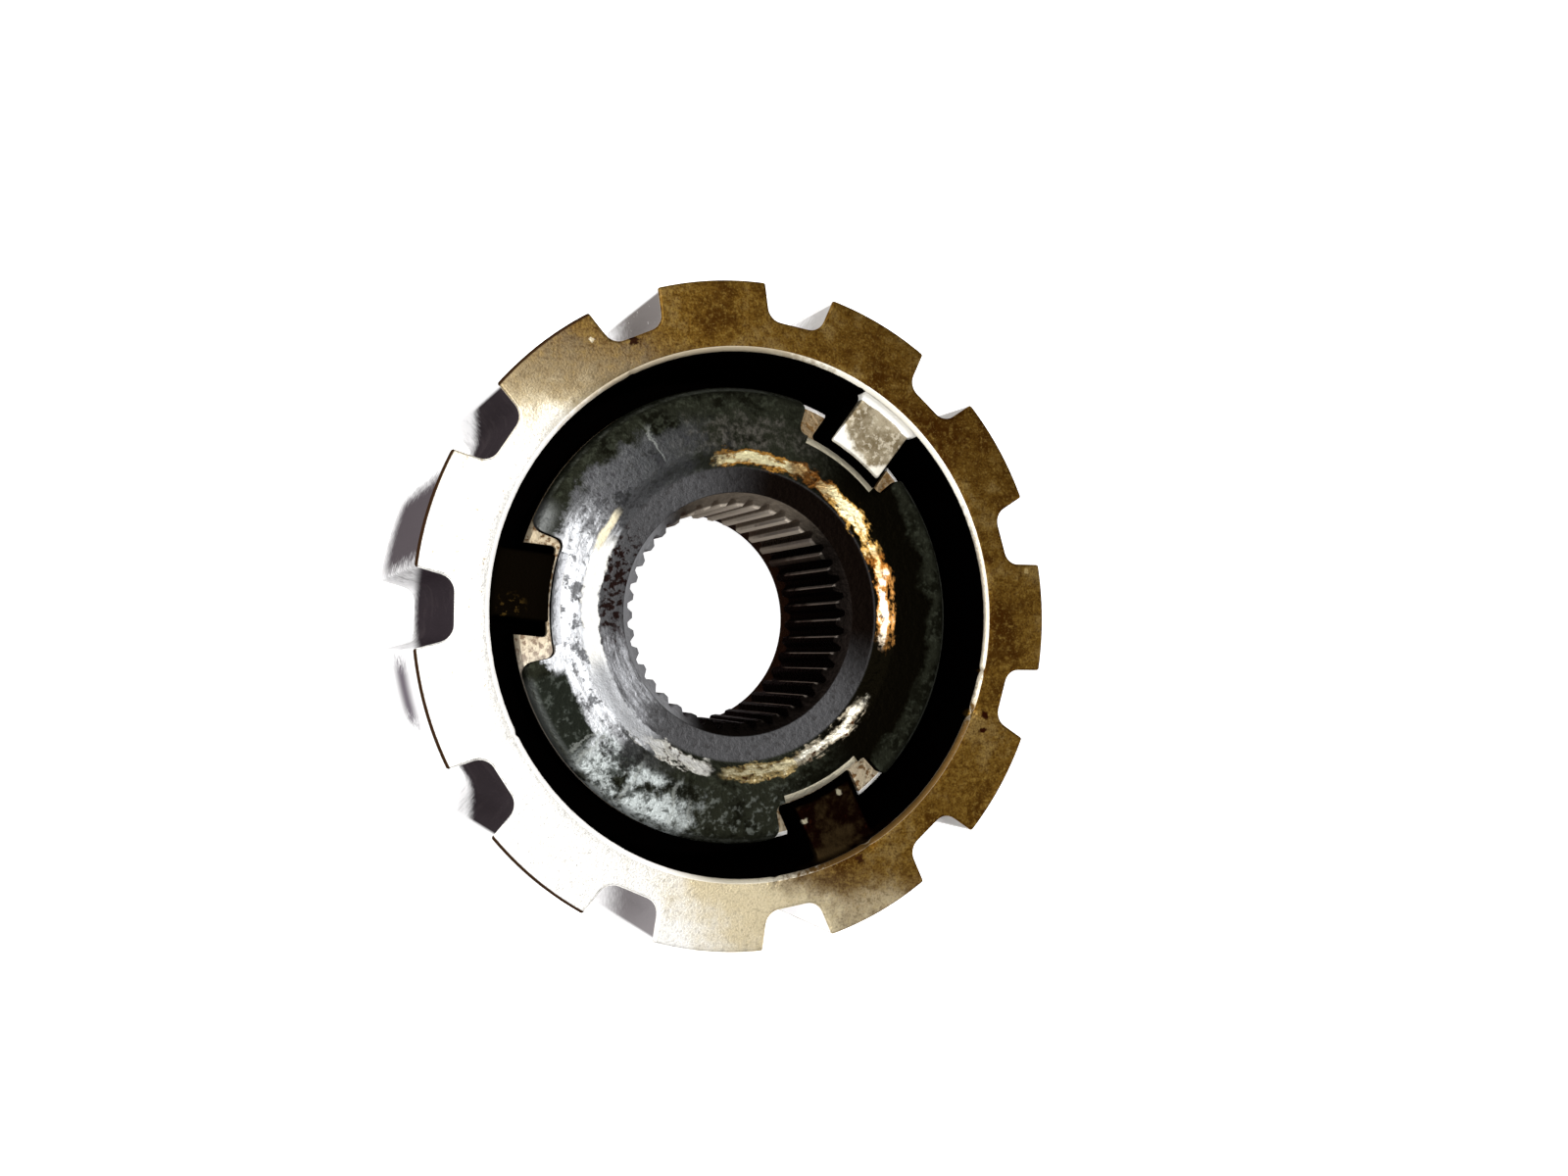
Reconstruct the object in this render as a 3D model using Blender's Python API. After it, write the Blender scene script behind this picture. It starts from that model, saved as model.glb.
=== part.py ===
"""Parking gear of an automatic gearbox: a notched ring that the pawl drops into, and a splined hub that
the ring's three dogs reach through.

Metres, +Z up along the gear's axis. The gear stands on its back face at z = 0, with its front face up.
"""

import math

import bmesh
import bpy
from mathutils import Matrix, Vector

MM = 0.001

# Internal spline of the bore, a standard form of 24/48 pitch
SPLINE_TEETH = 39
SPLINE_MODULE = 1.058 * MM
SPLINE_PRESSURE = math.radians(30.0)
SPLINE_DEDENDUM = 0.71 * MM
SPLINE_ADDENDUM = 0.54 * MM
SPLINE_LEAD = 1.15 * MM

# Widths outward from the spline: dish floor, its slope, flange, gap, ring
DISH_FLOOR_WIDTH = 3.9 * MM
DISH_SLOPE_WIDTH = 4.6 * MM
FLANGE_LAND = 10.8 * MM
FLANGE_GAP = 5.4 * MM
RING_WALL = 12.8 * MM

# Ring
RING_WIDTH = 50.0 * MM
BORE_CHAMFER = 0.7 * MM
TIP_CHAMFER = 0.5 * MM
RING_FACETS = 132

# Pawl notches, cut straight across the ring
NOTCH_COUNT = 11
NOTCH_PHASE = math.radians(80.6)
NOTCH_DEPTH = 6.9 * MM
NOTCH_MOUTH = 13.8 * MM
NOTCH_FLANK = math.radians(16.0)
NOTCH_FILLET = 2.9 * MM
NOTCH_EDGE = 0.3 * MM

# Dogs that stand inward from the ring's wall, their tops falling towards the axis
DOG_COUNT = 3
DOG_PHASE = math.radians(52.75)
DOG_REACH = 10.6 * MM
DOG_WIDTH = 11.7 * MM
DOG_DROP = 2.2 * MM
DOG_TOP_SLOPE = math.radians(7.0)
DOG_TOP_FILLET = 1.0 * MM
DOG_CHAMFER = 0.5 * MM
DOG_ROOT_FILLET = 1.5 * MM

# Web inside the ring that carries the hub
WEB_THICKNESS = 6.0 * MM
WEB_FILLET = 2.0 * MM

# Hub
FLANGE_DROP = 5.1 * MM
FLANGE_THICKNESS = 12.0 * MM
FLANGE_RIM_ROUND = 2.2 * MM
DISH_DEPTH = 1.9 * MM
SPIGOT_WALL = 5.7 * MM
SPIGOT_PROUD = 1.5 * MM
SPIGOT_CHAMFER = 0.8 * MM
BARREL_STEP = 3.0 * MM
BARREL_FILLET = 2.0 * MM
HUB_LENGTH = 30.3 * MM
HUB_FACETS = 96

# Pockets in the flange, with a ledge on each side of the slot for the dog
POCKET_DEPTH = 2.4 * MM
POCKET_LEAD = math.radians(1.9)
POCKET_CORNER = 1.5 * MM
POCKET_MOUTH_ROUND = 2.2 * MM
LEDGE_SHOULDER = 2.2 * MM
LEDGE_CHAMFER = 0.8 * MM
LEDGE_LIP = 0.5 * MM
BEVEL_WIDTH = 1.5 * MM
BEVEL_DROP = 0.9 * MM
BEVEL_SHARE = 0.88
BEVEL_RUNOUT = 0.8 * MM
SLOT_CORNER = 0.8 * MM

# Clearances, and how far the hub is turned within its play
SEAT_GAP = 0.3 * MM
DOG_SIDE_CLEARANCE = 2.2 * MM
DOG_END_CLEARANCE = 0.5 * MM
HUB_TURN = math.radians(0.55)
CUT = 2.0 * MM
SINK = 1.5 * MM


def clear_scene():
    for item in list(bpy.data.objects):
        bpy.data.objects.remove(item, do_unlink=True)


def steel(name, colour, roughness):
    material = bpy.data.materials.new(name)
    material.use_nodes = True
    shader = material.node_tree.nodes["Principled BSDF"]
    shader.inputs["Base Color"].default_value = (*colour, 1.0)
    shader.inputs["Metallic"].default_value = 1.0
    shader.inputs["Roughness"].default_value = roughness
    return material


def add_object(name, bm):
    bmesh.ops.recalc_face_normals(bm, faces=bm.faces)
    mesh = bpy.data.meshes.new(name)
    bm.to_mesh(mesh)
    bm.free()
    mesh.shade_smooth()
    mesh.set_sharp_from_angle(angle=math.radians(30.0))
    item = bpy.data.objects.new(name, mesh)
    bpy.context.scene.collection.objects.link(item)
    return item


def as_cutter(item):
    item.hide_render = True
    item.display_type = "WIRE"
    return item


def boolean(item, other, operation):
    modifier = item.modifiers.new(f"{operation.lower()} {other.name}", "BOOLEAN")
    modifier.object = other
    modifier.operation = operation
    modifier.solver = "EXACT"


def arc(centre, radius, start, end, steps):
    """Points (x, y) of an arc, both ends included."""
    points = []
    for step in range(steps + 1):
        angle = start + (end - start) * step / steps
        points.append((centre[0] + radius * math.cos(angle), centre[1] + radius * math.sin(angle)))
    return points


def rounded(corners, steps=5):
    """An outline of (x, y, radius) corners as points, with an arc in place of each corner that has a radius."""
    points = []
    for index, (x, y, radius) in enumerate(corners):
        here = Vector((x, y))
        if radius == 0.0:
            points.append((x, y))
            continue
        before = Vector(corners[index - 1][:2]) - here
        after = Vector(corners[(index + 1) % len(corners)][:2]) - here
        half = before.angle(after) / 2
        radius = min(radius, 0.9 * math.tan(half) * min(before.length, after.length))
        bisector = (before.normalized() + after.normalized()).normalized()
        centre = here + bisector * (radius / math.sin(half))
        start = here + before.normalized() * (radius / math.tan(half)) - centre
        end = here + after.normalized() * (radius / math.tan(half)) - centre
        turn = start.angle_signed(end)
        for step in range(steps + 1):
            spoke = start.copy()
            spoke.rotate(Matrix.Rotation(-turn * step / steps, 2))
            points.append(tuple(centre + spoke))
    return points


def turned(name, profile, facets):
    """A closed profile of (radius, z) points spun about the axis."""
    bm = bmesh.new()
    corners = [bm.verts.new((radius, 0.0, z)) for radius, z in profile]
    edges = [bm.edges.new((corners[i - 1], corners[i])) for i in range(len(corners))]
    bmesh.ops.spin(bm, geom=edges, angle=math.tau, steps=facets, axis=(0, 0, 1), cent=(0, 0, 0))
    bmesh.ops.remove_doubles(bm, verts=bm.verts, dist=1e-6)
    return add_object(name, bm)


def level(outline, z):
    return [(x, y, z) for x, y in outline]


def loft(bm, sections):
    """A closed body through outlines of equal point count, each one a list of (x, y, z)."""
    rings = [[bm.verts.new(point) for point in section] for section in sections]
    for lower, upper in zip(rings, rings[1:]):
        for i in range(len(lower)):
            bm.faces.new((lower[i - 1], lower[i], upper[i], upper[i - 1]))
    bm.faces.new(reversed(rings[0]))
    bm.faces.new(rings[-1])


def repeated(name, sections, count, phase):
    """One object with the loft repeated about the axis, its own +X turned to each place."""
    bm = bmesh.new()
    for index in range(count):
        turn = Matrix.Rotation(phase + math.tau * index / count, 3, "Z")
        loft(bm, [[turn @ Vector(point) for point in section] for section in sections])
    return add_object(name, bm)


# Heights, worked out from the front face down
FRONT = RING_WIDTH
FLANGE_TOP = FRONT - FLANGE_DROP
DISH_FLOOR = FLANGE_TOP - DISH_DEPTH
LEDGE = FLANGE_TOP - POCKET_DEPTH
FLANGE_UNDERSIDE = FLANGE_TOP - FLANGE_THICKNESS
HUB_BACK = FLANGE_TOP - HUB_LENGTH
WEB_BACK = HUB_BACK + SPIGOT_PROUD
WEB_FRONT = WEB_BACK + WEB_THICKNESS
HUB_SHOULDER = WEB_FRONT + SEAT_GAP

# Radii, worked out from the spline outward
SPLINE_PITCH_RADIUS = SPLINE_TEETH * SPLINE_MODULE / 2
SPLINE_ROOT_RADIUS = SPLINE_PITCH_RADIUS + SPLINE_DEDENDUM
SPLINE_TIP_RADIUS = SPLINE_PITCH_RADIUS - SPLINE_ADDENDUM
DISH_INNER_RADIUS = SPLINE_ROOT_RADIUS + SPLINE_LEAD + DISH_FLOOR_WIDTH
DISH_OUTER_RADIUS = DISH_INNER_RADIUS + DISH_SLOPE_WIDTH
FLANGE_RADIUS = DISH_OUTER_RADIUS + FLANGE_LAND
RING_BORE_RADIUS = FLANGE_RADIUS + FLANGE_GAP
RING_RADIUS = RING_BORE_RADIUS + RING_WALL
SPIGOT_RADIUS = SPLINE_ROOT_RADIUS + SPIGOT_WALL
BARREL_RADIUS = SPIGOT_RADIUS + BARREL_STEP
WEB_BORE_RADIUS = SPIGOT_RADIUS + SEAT_GAP

# The slots and pockets, worked out from the dogs that they clear
DOG_END_RADIUS = RING_BORE_RADIUS - DOG_REACH
SLOT_PHASE = DOG_PHASE + HUB_TURN
SLOT_HALF_WIDTH = DOG_WIDTH / 2 + DOG_SIDE_CLEARANCE
SLOT_END_RADIUS = DOG_END_RADIUS - DOG_END_CLEARANCE
LEDGE_INNER_RADIUS = SLOT_END_RADIUS - LEDGE_LIP
POCKET_HALF_ANGLE = math.asin((SLOT_HALF_WIDTH + LEDGE_SHOULDER) / SLOT_END_RADIUS)


def ring_blank():
    """The turned ring: its section has the bore, the web and the wide recess behind the web."""
    profile = [
        (RING_BORE_RADIUS + BORE_CHAMFER, FRONT),
        (RING_RADIUS - TIP_CHAMFER, FRONT),
        (RING_RADIUS, FRONT - TIP_CHAMFER),
        (RING_RADIUS, TIP_CHAMFER),
        (RING_RADIUS - TIP_CHAMFER, 0.0),
        (RING_BORE_RADIUS + BORE_CHAMFER, 0.0),
        (RING_BORE_RADIUS, BORE_CHAMFER),
    ]
    right_angle = math.pi / 2
    back_corner = (RING_BORE_RADIUS - WEB_FILLET, WEB_BACK - WEB_FILLET)
    profile += arc(back_corner, WEB_FILLET, 0.0, right_angle, 4)
    profile += [(WEB_BORE_RADIUS, WEB_BACK), (WEB_BORE_RADIUS, WEB_FRONT)]
    front_corner = (RING_BORE_RADIUS - WEB_FILLET, WEB_FRONT + WEB_FILLET)
    profile += arc(front_corner, WEB_FILLET, -right_angle, 0.0, 4)
    profile += [(RING_BORE_RADIUS, FRONT - BORE_CHAMFER)]
    return turned("parking_ring", profile, RING_FACETS)


def notch_outline(grow=0.0):
    """One notch seen along the axis, open outward along +X. Grow moves every side out."""
    floor = RING_RADIUS - NOTCH_DEPTH - grow
    rim = RING_RADIUS + CUT
    spread = math.tan(NOTCH_FLANK)
    side = grow / math.cos(NOTCH_FLANK)
    floor_half = NOTCH_MOUTH / 2 - NOTCH_DEPTH * spread - grow * spread + side
    rim_half = NOTCH_MOUTH / 2 + CUT * spread + side
    fillet = NOTCH_FILLET + grow
    one_side = [(floor, -floor_half, fillet), (rim, -rim_half, 0.0)]
    other_side = [(rim, rim_half, 0.0), (floor, floor_half, fillet)]
    return rounded(one_side + other_side)


def notch_cutters():
    """Each cutter flares at both faces, which breaks the notch's edges."""
    flare = NOTCH_EDGE + CUT
    sections = [
        level(notch_outline(flare), -CUT),
        level(notch_outline(), NOTCH_EDGE),
        level(notch_outline(), FRONT - NOTCH_EDGE),
        level(notch_outline(flare), FRONT + CUT),
    ]
    return as_cutter(repeated("notch cutters", sections, NOTCH_COUNT, NOTCH_PHASE))


def rise(distance, fillet):
    """How far a concave fillet has climbed, this far from the wall that it climbs."""
    reach = max(fillet - distance, 0.0)
    return fillet - math.sqrt(fillet ** 2 - min(reach, fillet) ** 2)


def dog_section(radius, chamfer_drop=0.0):
    """The dog cut by a cylinder about the axis, as a closed outline on that cylinder."""
    distance = RING_BORE_RADIUS - radius
    half = DOG_WIDTH / 2 + rise(distance, DOG_ROOT_FILLET)
    top = FRONT - DOG_DROP - distance * math.tan(DOG_TOP_SLOPE) + rise(distance, DOG_TOP_FILLET)
    inner = half - DOG_CHAMFER
    steps = 6
    across = [(half * (2 * step / steps - 1), WEB_FRONT - SINK) for step in range(steps + 1)]
    across.append((half, top - DOG_CHAMFER))
    across += [(inner * (1 - 2 * step / steps), top - chamfer_drop) for step in range(steps + 1)]
    across.append((-half, top - DOG_CHAMFER))
    return [(math.sqrt(radius ** 2 - y ** 2), y, z) for y, z in across]


def dogs():
    """Each dog runs from its concave end outward, and its fillets climb into the ring's wall."""
    sections = [dog_section(DOG_END_RADIUS, DOG_CHAMFER), dog_section(DOG_END_RADIUS + DOG_CHAMFER)]
    for step in range(6):
        distance = DOG_ROOT_FILLET * (1 - math.sin(math.pi / 2 * step / 6))
        sections.append(dog_section(RING_BORE_RADIUS - distance))
    sections.append(dog_section(RING_BORE_RADIUS + SINK))
    item = repeated("dogs", sections, DOG_COUNT, DOG_PHASE)
    item.modifiers.new("flat facets", "TRIANGULATE")
    return as_cutter(item)


def hub_blank():
    """The hub as forged and turned: rimmed flange, shallow dish, barrel and spigot, with its bore left small."""
    pilot = SPLINE_TIP_RADIUS - SPLINE_ADDENDUM
    lead = SPLINE_ROOT_RADIUS + SPLINE_LEAD - pilot
    rim = (FLANGE_RADIUS - FLANGE_RIM_ROUND, FLANGE_TOP - FLANGE_RIM_ROUND)
    profile = [(pilot, DISH_FLOOR - lead), (pilot + lead, DISH_FLOOR), (DISH_INNER_RADIUS, DISH_FLOOR)]
    for step in range(1, 7):
        share = step / 7
        climb = (1 - math.cos(math.pi * share)) / 2
        radius = DISH_INNER_RADIUS + (DISH_OUTER_RADIUS - DISH_INNER_RADIUS) * share
        profile.append((radius, DISH_FLOOR + DISH_DEPTH * climb))
    profile.append((DISH_OUTER_RADIUS, FLANGE_TOP))
    profile += arc(rim, FLANGE_RIM_ROUND, math.pi / 2, 0.0, 5)
    profile.append((FLANGE_RADIUS, FLANGE_UNDERSIDE))
    under = (BARREL_RADIUS + BARREL_FILLET, FLANGE_UNDERSIDE - BARREL_FILLET)
    profile += arc(under, BARREL_FILLET, math.pi / 2, math.pi, 4)
    profile += [
        (BARREL_RADIUS, HUB_SHOULDER),
        (SPIGOT_RADIUS, HUB_SHOULDER),
        (SPIGOT_RADIUS, HUB_BACK + SPIGOT_CHAMFER),
        (SPIGOT_RADIUS - SPIGOT_CHAMFER, HUB_BACK),
        (pilot + lead, HUB_BACK),
        (pilot, HUB_BACK + lead),
    ]
    return turned("splined_hub", profile, HUB_FACETS)


def involute(angle):
    return math.tan(angle) - angle


def space_half_angle(radius):
    """Half the angle that a tooth space spans at this radius, between involute flanks."""
    base_radius = SPLINE_PITCH_RADIUS * math.cos(SPLINE_PRESSURE)
    here = math.acos(base_radius / radius)
    return math.pi / (2 * SPLINE_TEETH) + involute(SPLINE_PRESSURE) - involute(here)


def spline_cutter():
    """The bore's outline as one closed ring of teeth and spaces."""
    flank = [SPLINE_TIP_RADIUS, SPLINE_PITCH_RADIUS, SPLINE_ROOT_RADIUS]
    outline = []
    for tooth in range(SPLINE_TEETH):
        middle = math.tau * tooth / SPLINE_TEETH
        for radius in flank:
            angle = middle - space_half_angle(radius)
            outline.append((radius * math.cos(angle), radius * math.sin(angle)))
        for radius in reversed(flank):
            angle = middle + space_half_angle(radius)
            outline.append((radius * math.cos(angle), radius * math.sin(angle)))
    bm = bmesh.new()
    loft(bm, [level(outline, HUB_BACK - CUT), level(outline, FLANGE_TOP + CUT)])
    return as_cutter(add_object("spline cutter", bm))


def pocket_outline():
    """One pocket seen along the axis: a curved inner wall, radial sides and a rounded mouth at the rim."""
    along = Vector((math.cos(POCKET_HALF_ANGLE), math.sin(POCKET_HALF_ANGLE)))
    across = Vector((-along.y, along.x))
    rim = along * FLANGE_RADIUS
    flare = rim + across * 3 * POCKET_MOUTH_ROUND
    far = FLANGE_RADIUS + 2 * CUT
    side = [(rim.x, rim.y, POCKET_MOUTH_ROUND), (flare.x, flare.y, 0.0), (far, flare.y, 0.0)]
    mirrored = [(x, -y, radius) for x, y, radius in reversed(side)]
    wall = arc((0.0, 0.0), LEDGE_INNER_RADIUS, -POCKET_HALF_ANGLE, POCKET_HALF_ANGLE, 8)
    corners = [(x, y, 0.0) for x, y in wall[1:-1]]
    return rounded(mirrored + [(*wall[0], POCKET_CORNER)] + corners + [(*wall[-1], POCKET_CORNER)] + side)


def pocket_cutters():
    """A turned section gives the ledge and its rim chamfer, within the pockets' plan."""
    inside = LEDGE_INNER_RADIUS - CUT
    outside = FLANGE_RADIUS + CUT
    section = [
        (inside, LEDGE),
        (inside, FLANGE_TOP + CUT),
        (outside, FLANGE_TOP + CUT),
        (outside, LEDGE - LEDGE_CHAMFER - CUT),
        (FLANGE_RADIUS - LEDGE_CHAMFER, LEDGE),
    ]
    cutter = turned("pocket cutters", section, HUB_FACETS)
    outline = pocket_outline()
    sections = [level(outline, LEDGE - LEDGE_CHAMFER - 2 * CUT), level(outline, FLANGE_TOP + 2 * CUT)]
    plan = as_cutter(repeated("pocket plans", sections, DOG_COUNT, SLOT_PHASE + POCKET_LEAD))
    boolean(cutter, plan, "INTERSECT")
    return as_cutter(cutter)


def bevel_cutters():
    """The bevel along the top edge of each pocket's inner wall."""
    reach = math.asin(SLOT_HALF_WIDTH / SLOT_END_RADIUS) * BEVEL_SHARE + POCKET_LEAD
    slope = BEVEL_WIDTH / BEVEL_DROP
    outer = arc((0.0, 0.0), LEDGE_INNER_RADIUS + SINK, reach, -reach, 8)
    low = arc((0.0, 0.0), LEDGE_INNER_RADIUS + BEVEL_RUNOUT, -reach, reach, 8)
    high = arc((0.0, 0.0), LEDGE_INNER_RADIUS - BEVEL_WIDTH - CUT * slope, -reach, reach, 8)
    bottom = FLANGE_TOP - BEVEL_DROP - BEVEL_RUNOUT / slope
    sections = [level(low + outer, bottom), level(high + outer, FLANGE_TOP + CUT)]
    return as_cutter(repeated("bevel cutters", sections, DOG_COUNT, SLOT_PHASE + POCKET_LEAD))


def slot_cutters():
    spread = math.asin(SLOT_HALF_WIDTH / SLOT_END_RADIUS)
    outside = FLANGE_RADIUS + CUT
    wall = arc((0.0, 0.0), SLOT_END_RADIUS, -spread, spread, 6)
    corners = [(*wall[0], SLOT_CORNER)] + [(x, y, 0.0) for x, y in wall[1:-1]] + [(*wall[-1], SLOT_CORNER)]
    corners += [(outside, SLOT_HALF_WIDTH, 0.0), (outside, -SLOT_HALF_WIDTH, 0.0)]
    outline = rounded(corners, steps=3)
    sections = [level(outline, FLANGE_UNDERSIDE - CUT), level(outline, FLANGE_TOP + CUT)]
    return as_cutter(repeated("slot cutters", sections, DOG_COUNT, SLOT_PHASE))


def parking_ring():
    ring = ring_blank()
    boolean(ring, dogs(), "UNION")
    boolean(ring, notch_cutters(), "DIFFERENCE")
    ring.data.materials.append(steel("oiled machined steel", (0.36, 0.27, 0.15), 0.38))
    return ring


def splined_hub():
    hub = hub_blank()
    boolean(hub, spline_cutter(), "DIFFERENCE")
    boolean(hub, pocket_cutters(), "DIFFERENCE")
    boolean(hub, bevel_cutters(), "DIFFERENCE")
    boolean(hub, slot_cutters(), "DIFFERENCE")
    hub.data.materials.append(steel("dark forged steel", (0.15, 0.16, 0.16), 0.5))
    return hub


clear_scene()
parking_ring()
splined_hub()
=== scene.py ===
"""The looks of the parking gear: finer meshes of its ring and hub, their worn and oiled finishes, and a
pale table under a soft light. Metres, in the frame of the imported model."""

import math

import bmesh
import bpy
from mathutils import Matrix, Vector, noise


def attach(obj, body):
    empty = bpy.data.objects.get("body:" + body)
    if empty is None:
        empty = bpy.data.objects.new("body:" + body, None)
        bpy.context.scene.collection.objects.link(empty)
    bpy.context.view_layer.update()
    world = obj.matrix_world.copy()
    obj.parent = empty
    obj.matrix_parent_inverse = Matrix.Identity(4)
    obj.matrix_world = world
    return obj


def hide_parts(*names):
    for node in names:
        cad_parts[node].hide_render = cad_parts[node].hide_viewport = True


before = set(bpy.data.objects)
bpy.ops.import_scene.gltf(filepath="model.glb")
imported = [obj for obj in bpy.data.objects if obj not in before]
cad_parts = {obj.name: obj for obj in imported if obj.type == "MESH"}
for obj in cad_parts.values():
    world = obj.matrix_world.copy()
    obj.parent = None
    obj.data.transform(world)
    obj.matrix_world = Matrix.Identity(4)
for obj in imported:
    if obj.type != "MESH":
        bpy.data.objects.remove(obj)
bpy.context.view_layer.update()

# The notched ring. A turned steel forging with eleven pawl notches milled straight across it, and an inward
# web that carries the hub. Its bore edge has a bright chamfer with a few dings.
MM = 0.001
QUARTER = math.pi / 2
RING_RADIUS = 59.99 * MM
RING_WIDTH = 50.0 * MM
RING_EDGE = 0.45 * MM
EDGE_STEPS = 4
BORE_RADIUS = 47.191 * MM
BORE_CHAMFER = 0.7 * MM
NOTCH_COUNT = 11
NOTCH_PHASE = math.radians(80.6)
NOTCH_DEPTH = 6.9 * MM
NOTCH_MOUTH = 13.8 * MM
NOTCH_FLANK = math.radians(16.0)
NOTCH_FILLET = 2.9 * MM
FLOOR_POINT = 2.4 * MM
TIP_ROUND = 0.45 * MM
LAND_STEPS = 16
WEB_BORE = 27.341 * MM
WEB_MIDDLE = 37.0 * MM
WEB_FRONT = 22.1 * MM
WEB_BACK = 16.1 * MM
WEB_CHAMFER = 0.3 * MM
WEB_FILLET = 2.0 * MM
FILLET_STEPS = 6
DING_HEIGHT = 2.2 * MM
DING_OUTSET = 0.35 * MM
DING_REACH = 1.4 * MM
EDGE_UNEVEN = 0.05 * MM
EDGE_WAVES = 900
# Bearing, half width and depth of each ding in the bore's edge, in degrees and millimetres
BORE_DINGS = [(-14.0, 0.9, 0.35), (-24.0, 1.3, 0.45), (-63.0, 0.8, 0.4), (-47.0, 0.5, 0.2),
              (118.0, 0.5, 0.2), (62.0, 0.5, 0.15), (205.0, 0.6, 0.2), (-86.0, 0.6, 0.2)]


def arc(centre, radius, start, end, steps):
    points = []
    for step in range(steps + 1):
        angle = start + (end - start) * step / steps
        points.append((centre[0] + radius * math.cos(angle), centre[1] + radius * math.sin(angle)))
    return points


def softened(corners, steps):
    """A closed outline of (x, y, radius) corners as points, with an arc in place of each corner."""
    points = []
    for index, (x, y, radius) in enumerate(corners):
        here = Vector((x, y))
        if radius == 0.0:
            points.append((x, y))
            continue
        before = Vector(corners[index - 1][:2]) - here
        after = Vector(corners[(index + 1) % len(corners)][:2]) - here
        half = before.angle(after) / 2
        radius = min(radius, 0.9 * math.tan(half) * min(before.length, after.length))
        bisector = (before.normalized() + after.normalized()).normalized()
        centre = here + bisector * (radius / math.sin(half))
        start = here + before.normalized() * (radius / math.tan(half)) - centre
        end = here + after.normalized() * (radius / math.tan(half)) - centre
        turn = start.angle_signed(end)
        for step in range(steps + 1):
            spoke = start.copy()
            spoke.rotate(Matrix.Rotation(-turn * step / steps, 2))
            points.append(tuple(centre + spoke))
    return points


def rim_outline(inset):
    """The notched rim seen along the axis, drawn in by inset where its edge is rounded."""
    spread = math.tan(NOTCH_FLANK)
    rim = RING_RADIUS - inset
    floor = rim - NOTCH_DEPTH
    floor_half = NOTCH_MOUTH / 2 - NOTCH_DEPTH * spread + inset * (1 / math.cos(NOTCH_FLANK) - spread)
    start = floor_half - floor * spread
    tip = (math.sqrt(rim ** 2 * (1 + spread ** 2) - start ** 2) - start * spread) / (1 + spread ** 2)
    tip_half = start + tip * spread
    side = [(floor, FLOOR_POINT, 0.0), (floor, floor_half, NOTCH_FILLET + inset)]
    for share in (0.42, 0.6, 0.8):
        x = floor + (tip - floor) * share
        side.append((x, start + x * spread, 0.0))
    side.append((tip, tip_half, TIP_ROUND))
    one_notch = [(x, -y, radius) for x, y, radius in reversed(side)] + [(floor, 0.0, 0.0)] + side
    half_angle = math.atan2(tip_half, tip)
    land = math.tau / NOTCH_COUNT - 2 * half_angle
    for step in range(1, LAND_STEPS):
        angle = half_angle + land * step / LAND_STEPS
        one_notch.append((rim * math.cos(angle), rim * math.sin(angle), 0.0))
    corners = []
    for notch in range(NOTCH_COUNT):
        turn = Matrix.Rotation(NOTCH_PHASE + math.tau * notch / NOTCH_COUNT, 2)
        for x, y, radius in one_notch:
            corners.append((*(turn @ Vector((x, y))), radius))
    return softened(corners, FILLET_STEPS)


def ring_rows():
    """The ring's section as rows of points all round, from the back face over the rim and down the bore."""
    plain = rim_outline(0.0)
    face_edge = rim_outline(RING_EDGE)
    first = math.atan2(plain[0][1], plain[0][0])
    bearings = [first]
    for index, (x, y) in enumerate(plain[1:], 1):
        even = math.tau * index / len(plain)
        real = (math.atan2(y, x) - first) % math.tau
        bearings.append(first + (even + real) / 2)

    def circle(radius, z):
        return [(radius * math.cos(angle), radius * math.sin(angle), z) for angle in bearings]

    def on_face(share, z):
        """A row this share of the way from the rim's edge to the bore's mouth."""
        mouth = circle(BORE_RADIUS + BORE_CHAMFER * 1.2, z)
        return [(x + (u - x) * share, y + (v - y) * share, z) for (x, y), (u, v, _) in zip(face_edge, mouth)]

    side = arc((-RING_EDGE, RING_EDGE), RING_EDGE, -QUARTER, 0.0, EDGE_STEPS)
    side += [(0.0, RING_WIDTH * share) for share in (0.2, 0.4, 0.6, 0.8)]
    side += arc((-RING_EDGE, RING_WIDTH - RING_EDGE), RING_EDGE, 0.0, QUARTER, EDGE_STEPS)
    rows = [[(x, y, z) for x, y in rim_outline(-outset)] for outset, z in side]
    rows += [on_face(share, RING_WIDTH) for share in (0.12, 0.35, 0.6, 0.85, 1.0)]
    wall = [(BORE_RADIUS + BORE_CHAMFER * out, RING_WIDTH - BORE_CHAMFER * down)
            for out, down in ((0.88, 0.12), (0.5, 0.5), (0.12, 0.88), (0.0, 1.2))]
    wall += [(BORE_RADIUS, z * MM) for z in (46.0, 42.0, 37.0, 32.0, 27.0)]
    wall += arc((BORE_RADIUS - WEB_FILLET, WEB_FRONT + WEB_FILLET), WEB_FILLET, 0.0, -QUARTER, FILLET_STEPS)
    wall += [(WEB_MIDDLE, WEB_FRONT), (WEB_BORE + WEB_CHAMFER, WEB_FRONT)]
    wall += [(WEB_BORE, WEB_FRONT - WEB_CHAMFER), (WEB_BORE, WEB_BACK + WEB_CHAMFER)]
    wall += [(WEB_BORE + WEB_CHAMFER, WEB_BACK), (WEB_MIDDLE, WEB_BACK)]
    wall += arc((BORE_RADIUS - WEB_FILLET, WEB_BACK - WEB_FILLET), WEB_FILLET, QUARTER, 0.0, FILLET_STEPS)
    wall += [(BORE_RADIUS, 9.0 * MM), (BORE_RADIUS, BORE_CHAMFER * 1.1),
             (BORE_RADIUS + BORE_CHAMFER * 0.5, BORE_CHAMFER * 0.4)]
    rows += [circle(radius, z) for radius, z in wall]
    rows += [on_face(share, 0.0) for share in (1.0, 0.6, 0.2)]
    return rows


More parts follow.
